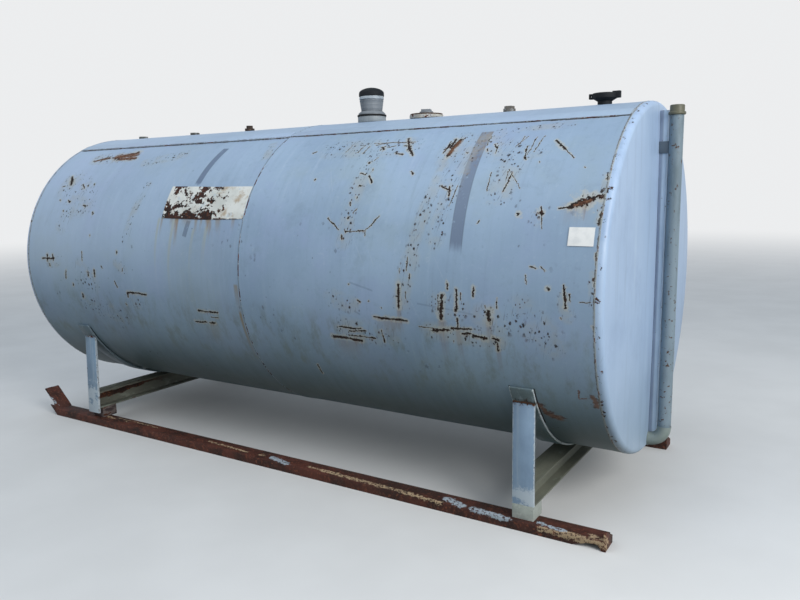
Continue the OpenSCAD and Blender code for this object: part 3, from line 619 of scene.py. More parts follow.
# %% Sky
world = bpy.data.worlds.new("sky")
bpy.context.scene.world = world
world.use_nodes = True
m = Recipe(world.node_tree)
m.tree.nodes.clear()
ray = m.node("LightPath").outputs
seen = m.larger(ray["Is Camera Ray"], ray["Is Transmission Ray"])
x, y, z = m.split(m.put("TexCoord", out=0))
sky = m.mix(m.step(z, 0.1, 0.9), (0.80, 0.86, 0.92), (0.50, 0.58, 0.68))
both = m.put("MixShader", seen, m.put("Background", sky, 0.78), m.put("Background", BACKDROP))
m.fill(m.node("OutputWorld").inputs["Surface"], both)


# %% Lamps
def lamp(name, place, target, size, watts, tone):
    data = bpy.data.lights.new(name, "AREA")
    data.shape = "DISK"
    data.size = size
    data.energy = watts
    data.color = tone
    light = bpy.data.objects.new(name, data)
    bpy.context.scene.collection.objects.link(light)
    light.location = place
    light.rotation_euler = (Vector(target) - Vector(place)).to_track_quat("-Z", "Y").to_euler()


lamp("key", (7.0, -3.0, 4.2), (0.5, 0, 1.0), 4.0, 420, (1.0, 0.99, 0.97))
lamp("top", (-2.0, -3.0, 8.0), (0, 0, 1.0), 6.0, 160, (0.95, 0.98, 1.0))

# %% [markdown]
# ## Old tank paint
# The paint is a chalky grey blue, streaked by rain and dirt, with fine scratches all over, chips
# where the steel rusts through, and brown runs below them. The near side's marks are strokes;
# the rest is noise, drawn out along the way water runs.

# %% Ground colour of the tank paint
def chalky_paint(m):
    """Cloudy and streaked, and painted greener and darker towards the belly, a painted shade with a painted green
    reflection of the ground. Returns its blotches.
    """
    x, y, z = m.split(m.place)
    above = z - AXIS_Z
    around = m.math("ARCTAN2", above, abs(y)) * TANK_R
    m.ground("97aec6", "889fb8", m.grain(1.6, 5, 0.6))
    streak = m.grain(5.0, 6, 0.65, (6.0, 0.5, 0.35))
    m.wash("7b8fa3", streak, 0.5, 0.75, 0.30)
    m.wash("abbfd1", streak, 0.48, 0.25, 0.30)
    violet = m.grain(2.4, 5, 0.62, shift=(9, 4, 7))
    m.wash("94a2c8", violet, 0.50, 0.68, 0.30)
    m.wash("93a6ab", violet, 0.48, 0.32, 0.30)
    blotch = m.grain(7.0, 8, 0.7, shift=(3, 1, 2))
    m.wash("76899b", blotch, 0.54, 0.72, 0.30)
    mottle = m.grain(42.0, 5, 0.65, shift=(1, 6, 2))
    m.wash("5f7184", mottle, 0.55, 0.75, 0.16)
    m.wash("c3d0dc", mottle, 0.42, 0.28, 0.14)
    # the upper half is painted lighter towards the left end, a painted light; it is painted darker towards the right
    # end, and the top above the lap edge is paler
    upper = m.step(around, -0.30, 0.15)
    m.lay("bccde2", upper, m.ramp(x, 0.1, -1.5, 0.0, 0.34))
    m.lay("6f8399", upper, m.ramp(x, 0.9, 1.7, 0.0, 0.24))
    m.wash("c0cfe0", around, 0.884, 0.892, 0.22)
    # the belly: painted shade, darker and greener downwards, with the ground's green painted in as a reflection
    low = around + (streak - 0.5) * 0.16
    m.wash("64787c", low, -0.02, -0.62, 0.55)
    m.wash("35433f", low, -0.34, -0.78, 0.80)
    # greenish patches in the lower band, part of the painted green reflection
    greenish_band = m.step(low, -0.08, -0.24) * m.step(low, -0.62, -0.42)
    greenish_noise = m.grain(10.0, 7, 0.72, (1.4, 0.8, 0.6), (6, 2, 8))
    m.lay("6c7563", m.step(greenish_noise, 0.46, 0.68) * greenish_band, 0.5)
    return blotch


# %% Marks in the tank paint
def hairlines(m, around):
    """Fine scratches: thin bands of very stretched noise in three directions."""
    for turn, seed, tone in ((0.5, 1.0, "c3ccd2"), (-0.35, 5.0, "74838f"), (1.2, 9.0, "bcc6cd")):
        leaning = m.put("Mapping", m.place, (seed, 0, 0), (0.3 * turn, turn, 0), (1, 1, 1))
        hair = m.grain(1.0, 2.0, 0.5, (110, 4, 3), at=leaning)
        where = m.step(m.grain(2.2, 3, 0.5, shift=(seed, seed, 0)), 0.52, 0.66) * m.step(around, -0.28, 0.05)
        m.lay(tone, m.step(hair, 0.67, 0.73) * where, 0.16)


# %% Worn bands, painted shade lines and runs
def wear_and_shade_band(m, flat, x0, a0, x1, a1, width, amount, tone, rusty):
    """A band where a strap kept the dirt off or rubbed; it also draws the near-black painted shade lines along the
    straps' sides.
    """
    across, length = band(m, flat, x0, a0, x1, a1, width)
    ends = m.step(length, -0.004, 0.004)
    ends = ends * m.step(length + m.grain(60, 3, stretch=(1, 0.15, 1), at=flat) * 0.10, 1.06, 0.98)
    patchiness = m.step(m.grain(38, 5, 0.7), 0.22, 0.42)
    mask = m.step(across, 1.06, 0.94) * ends * patchiness
    m.lay(tone, mask, amount)
    edge = m.step(abs(across - 1.0), 0.13, 0.03)
    m.lay("55616d", edge * (ends * patchiness), 0.45 * amount)
    if rusty:
        patch = m.step(m.grain(34, 6, 0.7) + length * -0.45, 0.34, 0.50)
        m.lay("7d6f66", patch * mask, rusty)


def run_down(m, flat, x0, a0, x1, a1, width, amount, tone):
    """Rust or dirt that rain has carried down."""
    across, length = band(m, flat, x0, a0, x1, a1, width)
    comb = m.grain(34.0, 5, 0.65, (1.0, 0.045, 1.0), at=flat) * 0.45
    comb = comb + m.grain(130.0, 4, 0.6, (1.0, 0.02, 1.0), at=flat) * 0.55
    mask = m.step(comb * 1.9 - length, 0.0, 0.95) * m.step(across, 1.25, 0.35)
    fade = m.step(length, -0.02, 0.5 if width > 300 else 0.04) * m.ramp(length, 0.0, 1.0, 1.0, 0.35)
    m.lay(tone, mask * fade, amount)


# %% Specks
def specks(m, masks, zone, ragged_noise):
    """Large specks here and there, and small ones where the paint is freckled."""
    for scale, share, radius, seed in ((12.0, 0.78, 0.065, 0.0), (30.0, 0.50, 0.170, 3.0), (62.0, 0.36, 0.25, 6.0)):
        cell = m.node("TexVoronoi")
        m.fill(cell.inputs["Vector"], m.put("Mapping", m.place, (seed, seed, seed), (0, 0, 0), (1, 1, 0.75)))
        m.fill(cell.inputs["Scale"], scale)
        wanted = m.step(m.put("SeparateColor", cell.outputs["Color"]), share, share + 0.02)
        swollen = m.ramp(m.put("SeparateColor", cell.outputs["Color"], out=1), 0.0, 1.0, 0.6, 1.9)
        patchy = m.step(m.grain(2.2, 3, 0.5, shift=(7, 2, 5 + seed)), 0.56, 0.66)
        if seed:
            patchy = m.larger(zone, patchy * (0.45 if seed == 3.0 else 0.0))
        size = cell.outputs["Distance"] * swollen + ragged_noise * (radius * 3.2)
        speck = m.step(size, radius * 1.2, radius * 0.7) * (wanted * patchy)
        masks = m.larger(masks, speck * 0.95)
    return masks


# %% Tank paint for the shell courses
def shell_paint(name, rust_strokes=(), stains=(), stripes=(), freckles=(), clouds=()):
    m = Paint(name)
    along, around, flat = shell_place(m)
    blotch = chalky_paint(m)
    hairlines(m, around)
    coarse = m.put("TexNoise", m.place, None, 14.0, 3.0, 0.5, out=1)
    fine = m.put("TexNoise", m.place, None, 85.0, 4.0, 0.65, out=1)
    shifts = swing(m, coarse, (0.014, 0.014, 0.0)), swing(m, fine, (0.017, 0.012, 0.0))
    bent = m.vector("ADD", m.vector("ADD", flat, shifts[0]), shifts[1])
    for stripe in stripes:
        wear_and_shade_band(m, flat, *stripe)
    for stain in stains:
        run_down(m, flat, *stain)
    rust = m.rust("150e0b", "2b1a14", "5a3626")
    masks = zone = 0.0
    ragged_noise = m.grain(130, 5, 0.7) - 0.5
    if rust_strokes:
        # brown runs below a stroke, lifted paint round it, and a dark core
        hang = m.ramp(m.grain(75.0, 3, 0.5, (1.0, 0.02, 1.0), at=flat), 0.35, 0.62, 1.1, 0.13)
        gap, drip = nearest_stroke(m, bent, rust_strokes, hang)
        gap = gap * m.ramp(m.grain(30, 4, 0.65, shift=(5, 5, 3)), 0.32, 0.66, 0.55, 1.45)
        m.wash("b5b3a6", gap + ragged_noise * 3.0, 3.4, 1.0, 0.66)
        m.wash("7a6350", drip, 1.15, 0.25, 0.42)
        flaky = m.grain(60, 4, 0.7, shift=(1, 9, 4)) - 0.5
        ragged = gap + ragged_noise * 2.8 + flaky * 2.4
        masks = m.step(ragged, 1.15, 0.85)
        rust = m.mix(m.step(ragged, 0.85, 0.30) * 0.8, rust, colour("1b110d"))
    if freckles:
        zone = m.step(nearest_stroke(m, bent, freckles), 1.25, 0.55)
    masks = specks(m, masks, zone, ragged_noise)
    if freckles:
        # short scratches that lean the same way
        leaning = m.put("Mapping", flat, (0, 0, 0), (0, 0, math.radians(-78)), (1, 1, 1))
        hair = m.grain(1.0, 3.0, 0.6, (14, 150, 1), at=leaning)
        masks = m.larger(masks, m.step(hair, 0.60, 0.67) * (zone * 0.50))
        m.lay("a3a59f", m.step(blotch, 0.42, 0.60) * zone, 0.38)
    m.lay(rust, masks)
    if clouds:
        puff = nearest_stroke(m, bent, clouds)
        thick = m.grain(55, 6, 0.75, (0.6, 1.0, 1.0), (4, 1, 0), at=flat)
        mask = m.step(puff + (thick - 0.5) * -5.5, 1.45, 0.55) * 0.88
        m.lay(m.mix(m.step(thick, 0.46, 0.60), colour("75513a"), colour("43261b")), mask)
    # a broken rusty line below the lapped plate, and one along the rim of the head
    lap_edge = math.radians(LAP_ANGLES["left" if name.startswith("left") else "right"]) * TANK_R
    line = abs(around - lap_edge)
    broken = m.grain(18, 6, 0.75, (1.0, 0.3, 1.0), at=flat)
    seam = m.step(line, 0.0045, 0.0015) * m.step(broken, 0.44, 0.54)
    rim = m.smaller(along - LEFT_RIM, RIGHT_RIM - along) + ragged_noise * 0.012
    m.wash("8d8f8a", rim, 0.008, 0.003, 0.5)
    seam = m.larger(seam, m.step(rim, 0.006, 0.003) * m.step(m.grain(22, 5, 0.7), 0.40, 0.55))
    m.lay("46382e", seam, 0.85)
    rough = m.math("ADD", 0.42 + blotch * 0.16, masks * 0.35, clamp=True)
    return m.done(rough, m.grain(3.0, 3, 0.5) * 2.2, 0.0012, 0.6)


# %% [markdown]
# A shader has room for few strokes. So the near side of a course is divided into fields,
# each with its own copy of the paint and only the marks that touch it. A field with too many
# marks is halved again. As the paint itself follows the tank's own places, the fields don't show.

# %% Fields of the near side
MOST_STROKES = 12
NEAR_SIDE = (-46, 64)


def touches(mark, field, margin):
    x0, x1, a0, a1 = field
    across = math.degrees(margin / TANK_R)
    return (min(mark[0], mark[2]) < x1 + margin and max(mark[0], mark[2]) > x0 - margin
            and min(mark[1], mark[3]) < a1 + across and max(mark[1], mark[3]) > a0 - across)


def paint_fields(name, field, rust, *others):
    """A list of (field, material) that covers the field."""
    here = [mark for mark in rust if touches(mark, field, 0.035)]
    if len(here) > MOST_STROKES:
        x0, x1, a0, a1 = field
        if x1 - x0 > math.radians(a1 - a0) * TANK_R:
            halves = (x0, (x0 + x1) / 2, a0, a1), ((x0 + x1) / 2, x1, a0, a1)
        else:
            halves = (x0, x1, a0, (a0 + a1) / 2), (x0, x1, (a0 + a1) / 2, a1)
        return [part for k, half in enumerate(halves)
                for part in paint_fields("%s.%d" % (name, k + 1), half, here, *others)]
    margins = (lambda width: width / 1500, lambda width: 0.05, lambda width: width / 1200 + 0.02, lambda width: 0.06)
    near = [[mark for mark in marks if touches(mark, field, margin(mark[4]))]
            for marks, margin in zip(others, margins)]
    return [(field, shell_paint(name, here, *near))]


fields_left = paint_fields("left paint", (LEFT_RIM, SEAM_X, *NEAR_SIDE), LEFT_RUST, LEFT_STAINS, LEFT_STRIPES,
                           LEFT_FRECKLES, LEFT_CLOUDS)
fields_right = paint_fields("right paint", (SEAM_X, RIGHT_RIM, *NEAR_SIDE), RIGHT_RUST, RIGHT_STAINS,
                            RIGHT_STRIPES, RIGHT_FRECKLES, RIGHT_CLOUDS)
paint_plain = shell_paint("far side paint")
print("fields:", len(fields_left), "left,", len(fields_right), "right")


# %% [markdown]
# ## Paint of the heads, straps and legs
# The heads were pressed smooth, so their paint is less marked than the shell's; it is painted paler, a painted light
# on the heads. Straps and legs are flat bars, which lose their paint first along the edges; the pale lines along
# their edges are painted highlights. All this could be painted on an image, but a recipe stays sharp from near by,
# and one recipe serves many pieces.

# %% Paint for legs and small fittings
def fitting_paint(name, light, deep, chips, brown, scale=3.0):
    """The same paint on smaller pieces; chips is the level of noise above which steel shows."""
    m = Paint(name)
    m.ground(light, deep, m.grain(scale, 5, 0.6))
    m.wash("7c8384", m.grain(7.0, 5, 0.6, (2.0, 2.0, 0.2)), 0.52, 0.72, brown)
    edge = m.grain(26, 6, 0.68, shift=(4, 8, 1))
    m.wash("c9d2d6", edge, chips - 0.05, chips, 0.6)
    mask = m.step(edge, chips, chips + 0.02)
    m.lay(m.rust(), mask)
    return m.done(0.45 + mask * 0.3, m.grain(18, 4, 0.5) - mask, 0.0008)


# %% Paint of the heads
def head_finish():
    """Smooth and painted paler than the shell, a painted light, and painted darker towards the bottom as painted
    shade; along the rim the paint is chipped to filler and rust.
    """
    m = Paint("head paint")
    # painted light: the head's ground is paler than the shell's
    m.ground("a3b9d5", "96adca", m.grain(1.3, 5, 0.6))
    streak = m.grain(9.0, 5, 0.6, (1.0, 2.2, 0.12))
    m.wash("8297b2", streak, 0.50, 0.72, 0.42)
    m.wash("879dbd", m.grain(5.0, 7, 0.72, (1.0, 1.0, 0.6), (2, 7, 3)), 0.50, 0.68, 0.38)
    m.wash("c2d2df", streak, 0.45, 0.25, 0.25)
    x, y, z = m.split(m.place)
    up = z - AXIS_Z
    rim = TANK_R - m.math("SQRT", up * up + y * y)
    nick = m.grain(60, 6, 0.75)
    uneven = rim + (nick - 0.5) * 0.010
    past = abs(x - (LEFT_RIM + RIGHT_RIM) / 2) - (RIGHT_RIM - LEFT_RIM) / 2
    m.lay("9f9a89", m.step(uneven, 0.0036, 0.0012) * m.step(past + nick * 0.006, 0.0085, 0.0055), 0.65)
    # painted shade: darker and greener towards the bottom of the head
    m.wash("7d8f93", up, -0.15, -0.75, 0.35)
    chips = m.grain(31, 6, 0.72, shift=(4, 8, 1))
    level = 0.80 - m.step(rim, 0.012, 0.002) * 0.22
    mask = m.step(chips - level, 0.0, 0.02)
    m.lay(m.rust("1d120e", "43281c", "74492f"), mask)
    m.wash("7f909f", m.grain(1.0, 2.0, 0.5, (1, 120, 6), turn=(0.5, 0, 0)), 0.70, 0.76, 0.35)
    return m.done(0.38 + mask * 0.4, m.grain(3.2, 3, 0.5) * 2.0 - mask, 0.0011, 0.55)


# %% Paint of the straps and front legs
def support_finish(name, node_name, light, deep, foot, face=False, pale=0.75, chipped=0.70, weld=True):
    """Edges are chipped, and a pale line along them, as strong as pale, is a painted highlight; foot is the height
    below which the paint is scuffed white.
    With face, the sides behind the front are painted dark as painted shade; with weld, the top is rusty where it was
    welded."""
    m = Paint(name)
    edge_low, edge_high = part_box(node_name)
    x, y, z = m.split(m.place)
    m.ground(light, deep, m.grain(5, 5, 0.6))
    streak = m.grain(8.0, 6, 0.65, (3.0, 3.0, 0.25))
    m.wash("5f7285", streak, 0.50, 0.72, 0.35)
    m.wash("b4c2cb", streak, 0.46, 0.28, 0.35)
    ragged = m.grain(70, 6, 0.72) - 0.5
    side = m.smaller(abs(x - edge_low[0]), abs(edge_high[0] - x))
    # painted highlight: a pale line along the bar's two edges
    m.wash("c3ccd0", side + ragged * 0.02, 0.005, 0.001, pale)
    if face:
        # painted shade: the sides behind the front face are painted dark
        m.wash("4a565f", y, edge_low[1] + 0.0015, edge_low[1] + 0.0035, 0.8)
    height = z + ragged * 0.12
    m.lay("c9d4dc", m.step(height, foot, foot - 0.035) * m.step(m.grain(17, 6, 0.7), 0.42, 0.50), 0.8)
    chips = m.grain(44, 6, 0.74, shift=(3, 8, 5))
    mask = m.step(chips - (chipped - m.step(side, 0.010, 0.001) * 0.09), 0.0, 0.02)
    if weld:
        top = m.step(abs(height - LEG_TOP_Z), 0.016, 0.003) * m.step(m.grain(30, 5, 0.7), 0.42, 0.54)
        mask = m.larger(mask, top)
    m.lay(m.rust("1f1511", "4a2c1e", "8a5530"), mask)
    return m.done(0.45 + mask * 0.35, m.grain(20, 4, 0.5) - mask)


# %% The paints of the heads, straps and legs
leg_side_paint = fitting_paint("rear leg paint", "7d97ad", "6c859b", 0.70, 0.3)
small_paint = fitting_paint("collar paint", "aca89c", "93908a", 0.57, 0.5, 12)
plug_paint = fitting_paint("plug paint", "625d56", "4b4843", 0.64, 0.6, 20)
head_paint = head_finish()
left_leg_paint = support_finish("left leg paint", "leg_front_left", "8da6bd", "7890a8", 0.30, pale=0.7,
                                chipped=0.665, weld=False)
right_leg_paint = support_finish("right leg paint", "leg_front_right", "8ea6bf", "7e95ae", 0.20, face=True)
# painted shade: the straps are painted in the darker, greener tone of the shell's belly
left_strap_paint = support_finish("left strap paint", "strap_left", "5f727d", "53646d", -1.0, pale=0.12)
right_strap_paint = support_finish("right strap paint", "strap_right", "73868f", "5c6c70", -1.0)

# %% [markdown]
# ## Bare and rusted steel, black caps, sign
# The runners have lost their paint long ago. The beams keep some of it. The pipe is grey green.

# %% Patches of paint on the near runner
# metres along it, metres across its top from the far edge and on down its side, width in millimetres
PALE_PATCHES = [(0.045, 0.056, 0.175, 0.084, 36), (1.13, 0.052, 1.21, 0.082, 46), (1.27, 0.086, 1.44, 0.1, 38),
    (1.59, 0.07, 1.61, 0.074, 28), (1.64, 0.08, 1.7, 0.088, 26), (-1.9, 0.03, -1.86, 0.06, 20)]
CREAM_PATCHES = [(-0.45, 0.046, -0.13, 0.064, 14), (-0.04, 0.056, -0.01, 0.06, 26), (0.3, 0.06, 0.46, 0.068, 20),
    (0.46, 0.068, 0.62, 0.078, 26), (0.62, 0.078, 0.78, 0.082, 30), (0.78, 0.082, 1.0, 0.092, 24),
    (0.88, 0.088, 1.11, 0.102, 24), (1.72, 0.088, 1.78, 0.095, 20), (1.82, 0.075, 1.87, 0.085, 36),
    (-1.3, 0.02, -0.9, 0.03, 7), (-1.4, 0.036, -1.31, 0.042, 16), (-1.19, 0.05, -1.17, 0.05, 9),
    (1.6, 0.108, 1.7, 0.114, 26), (1.7, 0.112, 1.8, 0.116, 28), (1.8, 0.112, 1.875, 0.12, 32)]


# %% Rusted steel
def rusted(name, dark, mid, fresh, remains, amount):
    m = Paint(name)
    m.base = m.rust(dark, mid, fresh)
    mask = m.step(m.grain(5, 6, 0.65, (0.35, 1, 1)), amount, amount + 0.05)
    m.lay(remains, mask)
    dust = m.step(m.grain(45, 4, 0.7), 0.55, 0.75)
    m.lay("8d7a6b", dust, 0.3)
    height = m.grain(60, 6, 0.7) + mask * 0.4
    return m.done(0.7 + dust * 0.2, height, 0.0015, 0.7)


# %% Rust and patches of the near runner
def runner_finish():
    """Brown steel with dusty and darker patches, and the last patches of paint."""
    m = Paint("runner rust")
    m.base = m.rust("2c1913", "552e24", "7a4631")
    m.wash("35241f", m.grain(4, 6, 0.65, (0.35, 1, 1)), 0.50, 0.70, 0.5)
    dust = m.step(m.grain(50, 5, 0.72), 0.56, 0.74)
    m.lay("8d7465", dust, 0.30)
    x, y, z = m.split(m.place)
    far_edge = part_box("runner_front")[1][1]
    flat = m.put("CombineXYZ", x, (far_edge - y) - (z - RUNNER_TOP_Z), 0.0)
    bent = m.vector("ADD", flat, swing(m, m.put("TexNoise", m.place, None, 34.0, 5.0, 0.7, out=1),
                                       (0.10, 0.055, 0.0)))
    flake = m.grain(75, 5, 0.7, shift=(2, 2, 1))
    masks = None
    for marks, tone, level in ((CREAM_PATCHES, "b7a081", 0.44), (PALE_PATCHES, "a9b6c0", 0.42)):
        gap = nearest_stroke(m, bent, [(x0, math.degrees(s0 / TANK_R), x1, math.degrees(s1 / TANK_R), width)
                                       for x0, s0, x1, s1, width in marks])
        mask = m.step(gap, 1.15, 0.80) * m.step(flake, level, level + 0.06)
        m.lay(tone, mask, 0.9)
        masks = m.larger(masks, mask) if masks else mask
    m.wash("a39a8c", m.grain(38, 6, 0.75, shift=(8, 1, 3)), 0.70, 0.73, 0.7)
    height = m.grain(65, 6, 0.7) + masks * 0.5
    return m.done(0.68 + dust * 0.2, height, 0.002, 0.7)


# %% Paint left on the beams and spacers
def beam_finish(name, light, deep, rust_level, rim_tone="8b9288", rust_and_shade_band=None):
    """Grey green paint with rust coming through in bands along the steel; a band given under the top flange is rust
    and painted shade together.
    """
    m = Paint(name)
    m.ground(light, deep, m.grain(6, 6, 0.65, (1, 0.35, 1)), 0.35, 0.68)
    stain = m.grain(14, 6, 0.7, (1.0, 0.35, 1.0), (5, 2, 0))
    m.wash(rim_tone, stain, rust_level - 0.10, rust_level, 0.5)
    mask = m.step(stain, rust_level, rust_level + 0.04)
    # rust and painted shade: a dark rusty band on the near side of the web, just under the top flange
    if rust_and_shade_band:
        low, high = rust_and_shade_band
        x, y, z = m.split(m.place)
        wavy = z + (stain - 0.5) * 0.10
        strip = m.step(wavy, low, low + 0.006) * m.step(wavy, high + 0.006, high)
        mask = m.larger(mask, strip * m.step(y, 0.0, -0.35))
    m.lay(m.rust("241712", "4c2c20", "844e2e"), mask)
    m.wash("2c2019", m.grain(90, 4, 0.7), 0.66, 0.70, 0.8)
    return m.done(0.6 + mask * 0.3, m.grain(70, 5, 0.7) + mask, 0.001, 0.6)


# %% Pipe, cap and black pieces
def worn_metal(name, light, deep, spots, spot_level, rough=0.5):
    m = Paint(name)
    m.ground(light, deep, m.grain(9, 6, 0.65, (1, 1, 0.25)), 0.35, 0.68)
    mask = m.step(m.grain(55, 5, 0.7, shift=(2, 5, 9)), spot_level, spot_level + 0.03)
    m.lay(spots, mask)
    height = m.grain(120, 4, 0.6) + mask
    return m.done(rough + mask * 0.25, height, 0.0006)


# %% The finishes of the skid and the fittings
runner_rust = runner_finish()
# the left beam's paint is a little darker than the right's, partly painted shade
left_beam_paint = beam_finish("left beam paint", "6b6c61", "55564d", 0.64, rust_and_shade_band=(0.160, 0.200))
right_beam_paint = beam_finish("right beam paint", "747568", "5c5f55", 0.68)
left_spacer_paint = beam_finish("left spacer paint", "46383a", "352a2b", 0.60, "8a7f7a")
right_spacer_paint = beam_finish("right spacer paint", "b3b9b2", "969d97", 0.62, "c1c5bd")
plug_rust = rusted("plug rust", "2a201b", "4b3d34", "6b5344", "6f7370", 0.66)
cover_rust = rusted("cover rust", "2b2019", "4d3a2c", "75583f", "7d7468", 0.66)
weld_rust = rusted("weld rust", "2a1b14", "53341f", "9a6136", "9fa7a8", 0.60)
pipe_metal = worn_metal("pipe metal", "7c8c97", "5e6e76", "4a3122", 0.60)
cap_metal = worn_metal("cap metal", "6b6a58", "4a4a40", "5a3620", 0.64)
elbow_metal = worn_metal("elbow metal", "87928f", "6b7775", "55432f", 0.68)
bracket_paint = worn_metal("bracket paint", "5d6a76", "4e5a66", "3a2a22", 0.72)
black_cap = worn_metal("black cap", "0f1418", "0a0e12", "262422", 0.70, 0.72)
rubber = worn_metal("gasket rubber", "0c0d0e", "141516", "1e1f20", 0.7, 0.75)
drum_metal = worn_metal("drum metal", "7c8288", "62686e", "3c3530", 0.70)


# %% Peeled sign and label
def sign_finish():
    """White film over rust: the film is gone in ragged islands, more on the left than the right."""
    m = Paint("peeled sign")
    along, around, flat = shell_place(m)
    low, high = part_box("sign_panel")
    share = m.ramp(along, low[0], high[0])
    rise = m.ramp(around, math.radians(21.5) * TANK_R, math.radians(36.0) * TANK_R)
    island = m.grain(15, 4, 0.6, shift=(1.3, 0.4, 0), at=flat) * 0.62
    island = island + m.grain(48, 5, 0.65, shift=(2.1, 0.9, 0), at=flat) * 0.38
    level = m.ramp(share, 0.62, 0.86, 0.0, 0.13, "SMOOTHSTEP") - m.step(rise, 0.42, 0.0) * 0.055
    bare = m.step(island - level, 0.506, 0.518)
    bare = m.larger(bare, m.step(rise, 0.045, 0.01) * m.step(m.grain(26, 5, 0.7, at=flat), 0.40, 0.50))
    m.ground("dcdeda", "c6c9c4", m.grain(6, 5, at=flat), 0.4, 0.65)
    m.wash("9c8f7a", m.grain(40, 5, 0.7, at=flat), 0.58, 0.75, 0.5)
    m.wash("a9bccb", m.grain(17, 3, 0.5, shift=(6.0, 3.0, 0), at=flat), 0.60, 0.66, 0.45)
    warm = m.step(m.grain(13, 6, 0.7, shift=(3.0, 7.0, 0), at=flat), 0.50, 0.66)
    m.lay("a58a66", warm * m.ramp(share, 0.4, 0.8, 0.25, 0.75))
    m.lay(m.rust("1a0e0b", "371b13", "6a3a22"), bare)
    return m.done(0.45 + bare * 0.35, 1.0 - bare, 0.0008, 0.8)


def label_finish():
    m = Paint("plain label")
    m.ground("e6e7e6", "d9dbdb", m.grain(30, 4), 0.4, 0.7)
    return m.done(0.4 + m.grain(60) * 0.1, m.grain(25, 3), 0.0003, 0.3)


sign_material = sign_finish()
label_material = label_finish()

# %% [markdown]
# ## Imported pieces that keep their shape
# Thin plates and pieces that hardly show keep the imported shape. They only get their finish.

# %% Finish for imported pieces
for node_name, material in (("label_plate", label_material), ("outlet_elbow", elbow_metal)):
    NODE[node_name].data.materials.clear()
    NODE[node_name].data.materials.append(material)

# %% [markdown]
# ## The shell courses
# Each course is one rolled plate. Real plate isn't a perfect tube: it waves by a millimetre or
# two, which the light shows. A tube is added at its size, cut into rows, and a displacement with
# a soft cloud pattern pushes it inwards here and there.

# %% Shell courses
ROWS = 32
PLATE_WAVE = 0.004


def shell_course(name, x0, x1, fields, node_name):
    nothing_selected()
    bpy.ops.mesh.primitive_cylinder_add(vertices=256, radius=TANK_R, depth=x1 - x0, end_fill_type="NOTHING",
                                        location=((x0 + x1) / 2, 0, AXIS_Z), rotation=(0, math.pi / 2, 0))
    piece = bpy.context.active_object
    settle(piece, name, 0)
    open_edit(piece)
    for row in range(1, ROWS):
        all_selected()
        bpy.ops.mesh.bisect(plane_co=(x0 + (x1 - x0) * row / ROWS, 0, 0), plane_no=(1, 0, 0))
    close_edit()
    clouds = bpy.data.textures.new("plate waves", "CLOUDS")
    clouds.noise_scale = 0.45
    inner = [v.index for v in piece.data.vertices if x0 + 0.02 < v.co.x < x1 - 0.02]
    piece.vertex_groups.new(name="inner rows").add(inner, 1.0, "REPLACE")
    use(piece, "DISPLACE", texture=clouds, texture_coords="LOCAL", strength=PLATE_WAVE, mid_level=1.0,
        vertex_group="inner rows")
    settle(piece, name, 60)
    finished(piece, paint_plain, "tank_paint", node_name)
    for field, material in fields:
        piece.data.materials.append(material)
    for face in piece.data.polygons:
        x, y, z = face.center
        angle = math.degrees(math.atan2(z - AXIS_Z, -y))
        for index, ((f0, f1, a0, a1), material) in enumerate(fields):
            if f0 <= x <= f1 and a0 <= angle <= a1:
                face.material_index = index + 1


shell_course("shell_course_left", shell_low[0], shell_high[0], fields_left, "shell_left")
shell_course("shell_course_right", right_low[0], right_high[0], fields_right, "shell_right")

# %% [markdown]
# ## The heads
# A head is a pressed disc with a rounded knuckle and a faint dish. Spinning its outline gives the
# round form; the knuckle gets many short steps so that its highlight is smooth.

# %% Heads
STAND, KNUCKLE, DISH = 9, 25, 5  # millimetres

flat_r = TANK_R * 1000 - KNUCKLE
outline = [(TANK_R * 1000, 0), (TANK_R * 1000, STAND)]
outline += [(flat_r + KNUCKLE * math.cos(math.radians(a)), STAND + KNUCKLE * math.sin(math.radians(a)))
            for a in range(10, 90, 10)]
outline += [(flat_r * k / 12, STAND + KNUCKLE + DISH * (1 - (k / 12) ** 2)) for k in range(12, -1, -1)]
for side, rim_x, sign in (("right", RIGHT_RIM, 1), ("left", LEFT_RIM, -1)):
    head = turned("head_dish_" + side, [(r, sign * h) for r, h in outline], (rim_x, 0, AXIS_Z), axis="X",
                  steps=192, angle=40)
    finished(head, head_paint, "tank_paint", "head_" + side)

# %% [markdown]
# ## Weld beads
# A weld is a rope of frozen metal, a few millimetres thick, with a ripple where each drop set.
# One small circle is extruded along the joint step by step, or spun round it, and every point is
# then nudged a little, so that no length of bead is like the next.

# %% Beads
def bead(name, place, facing, run, radius, steps, material, wobble, seed, *nodes):
    """A bead along a straight run, or round the tank where run is None."""
    nothing_selected()
    bpy.ops.mesh.primitive_circle_add(vertices=8, radius=radius, fill_type="NGON" if run else "NOTHING",
                                      location=place, rotation=facing)
    piece = bpy.context.active_object
    settle(piece, name, 0)
    open_edit(piece)
    if run:
        for k in range(steps):
            extrude(run / steps)
    else:
        bpy.ops.mesh.spin(steps=steps, angle=2 * math.pi, center=(place[0], 0, AXIS_Z), axis=(1, 0, 0))
        bpy.ops.mesh.remove_doubles(threshold=0.00002)
    all_selected()
    nudge(wobble, seed)
    close_edit()
    outward(piece)
    settle(piece, name, 50)
    finished(piece, material, "tank_paint", *nodes)


def ring_bead(name, x, ring, radius, steps, material, seed, *nodes):
    bead(name, (x, 0, AXIS_Z + ring), (math.pi / 2, 0, 0), None, radius, steps, material, 0.0004, seed, *nodes)


def straight_bead(name, x0, x1, y, z, radius, steps, material, wobble, seed):
    start = Vector((x0, y, z))
    run = Vector((x1, y, z)) - start
    bead(name, start, run.to_track_quat("Z", "Y").to_euler(), run, radius, steps, material, wobble, seed)


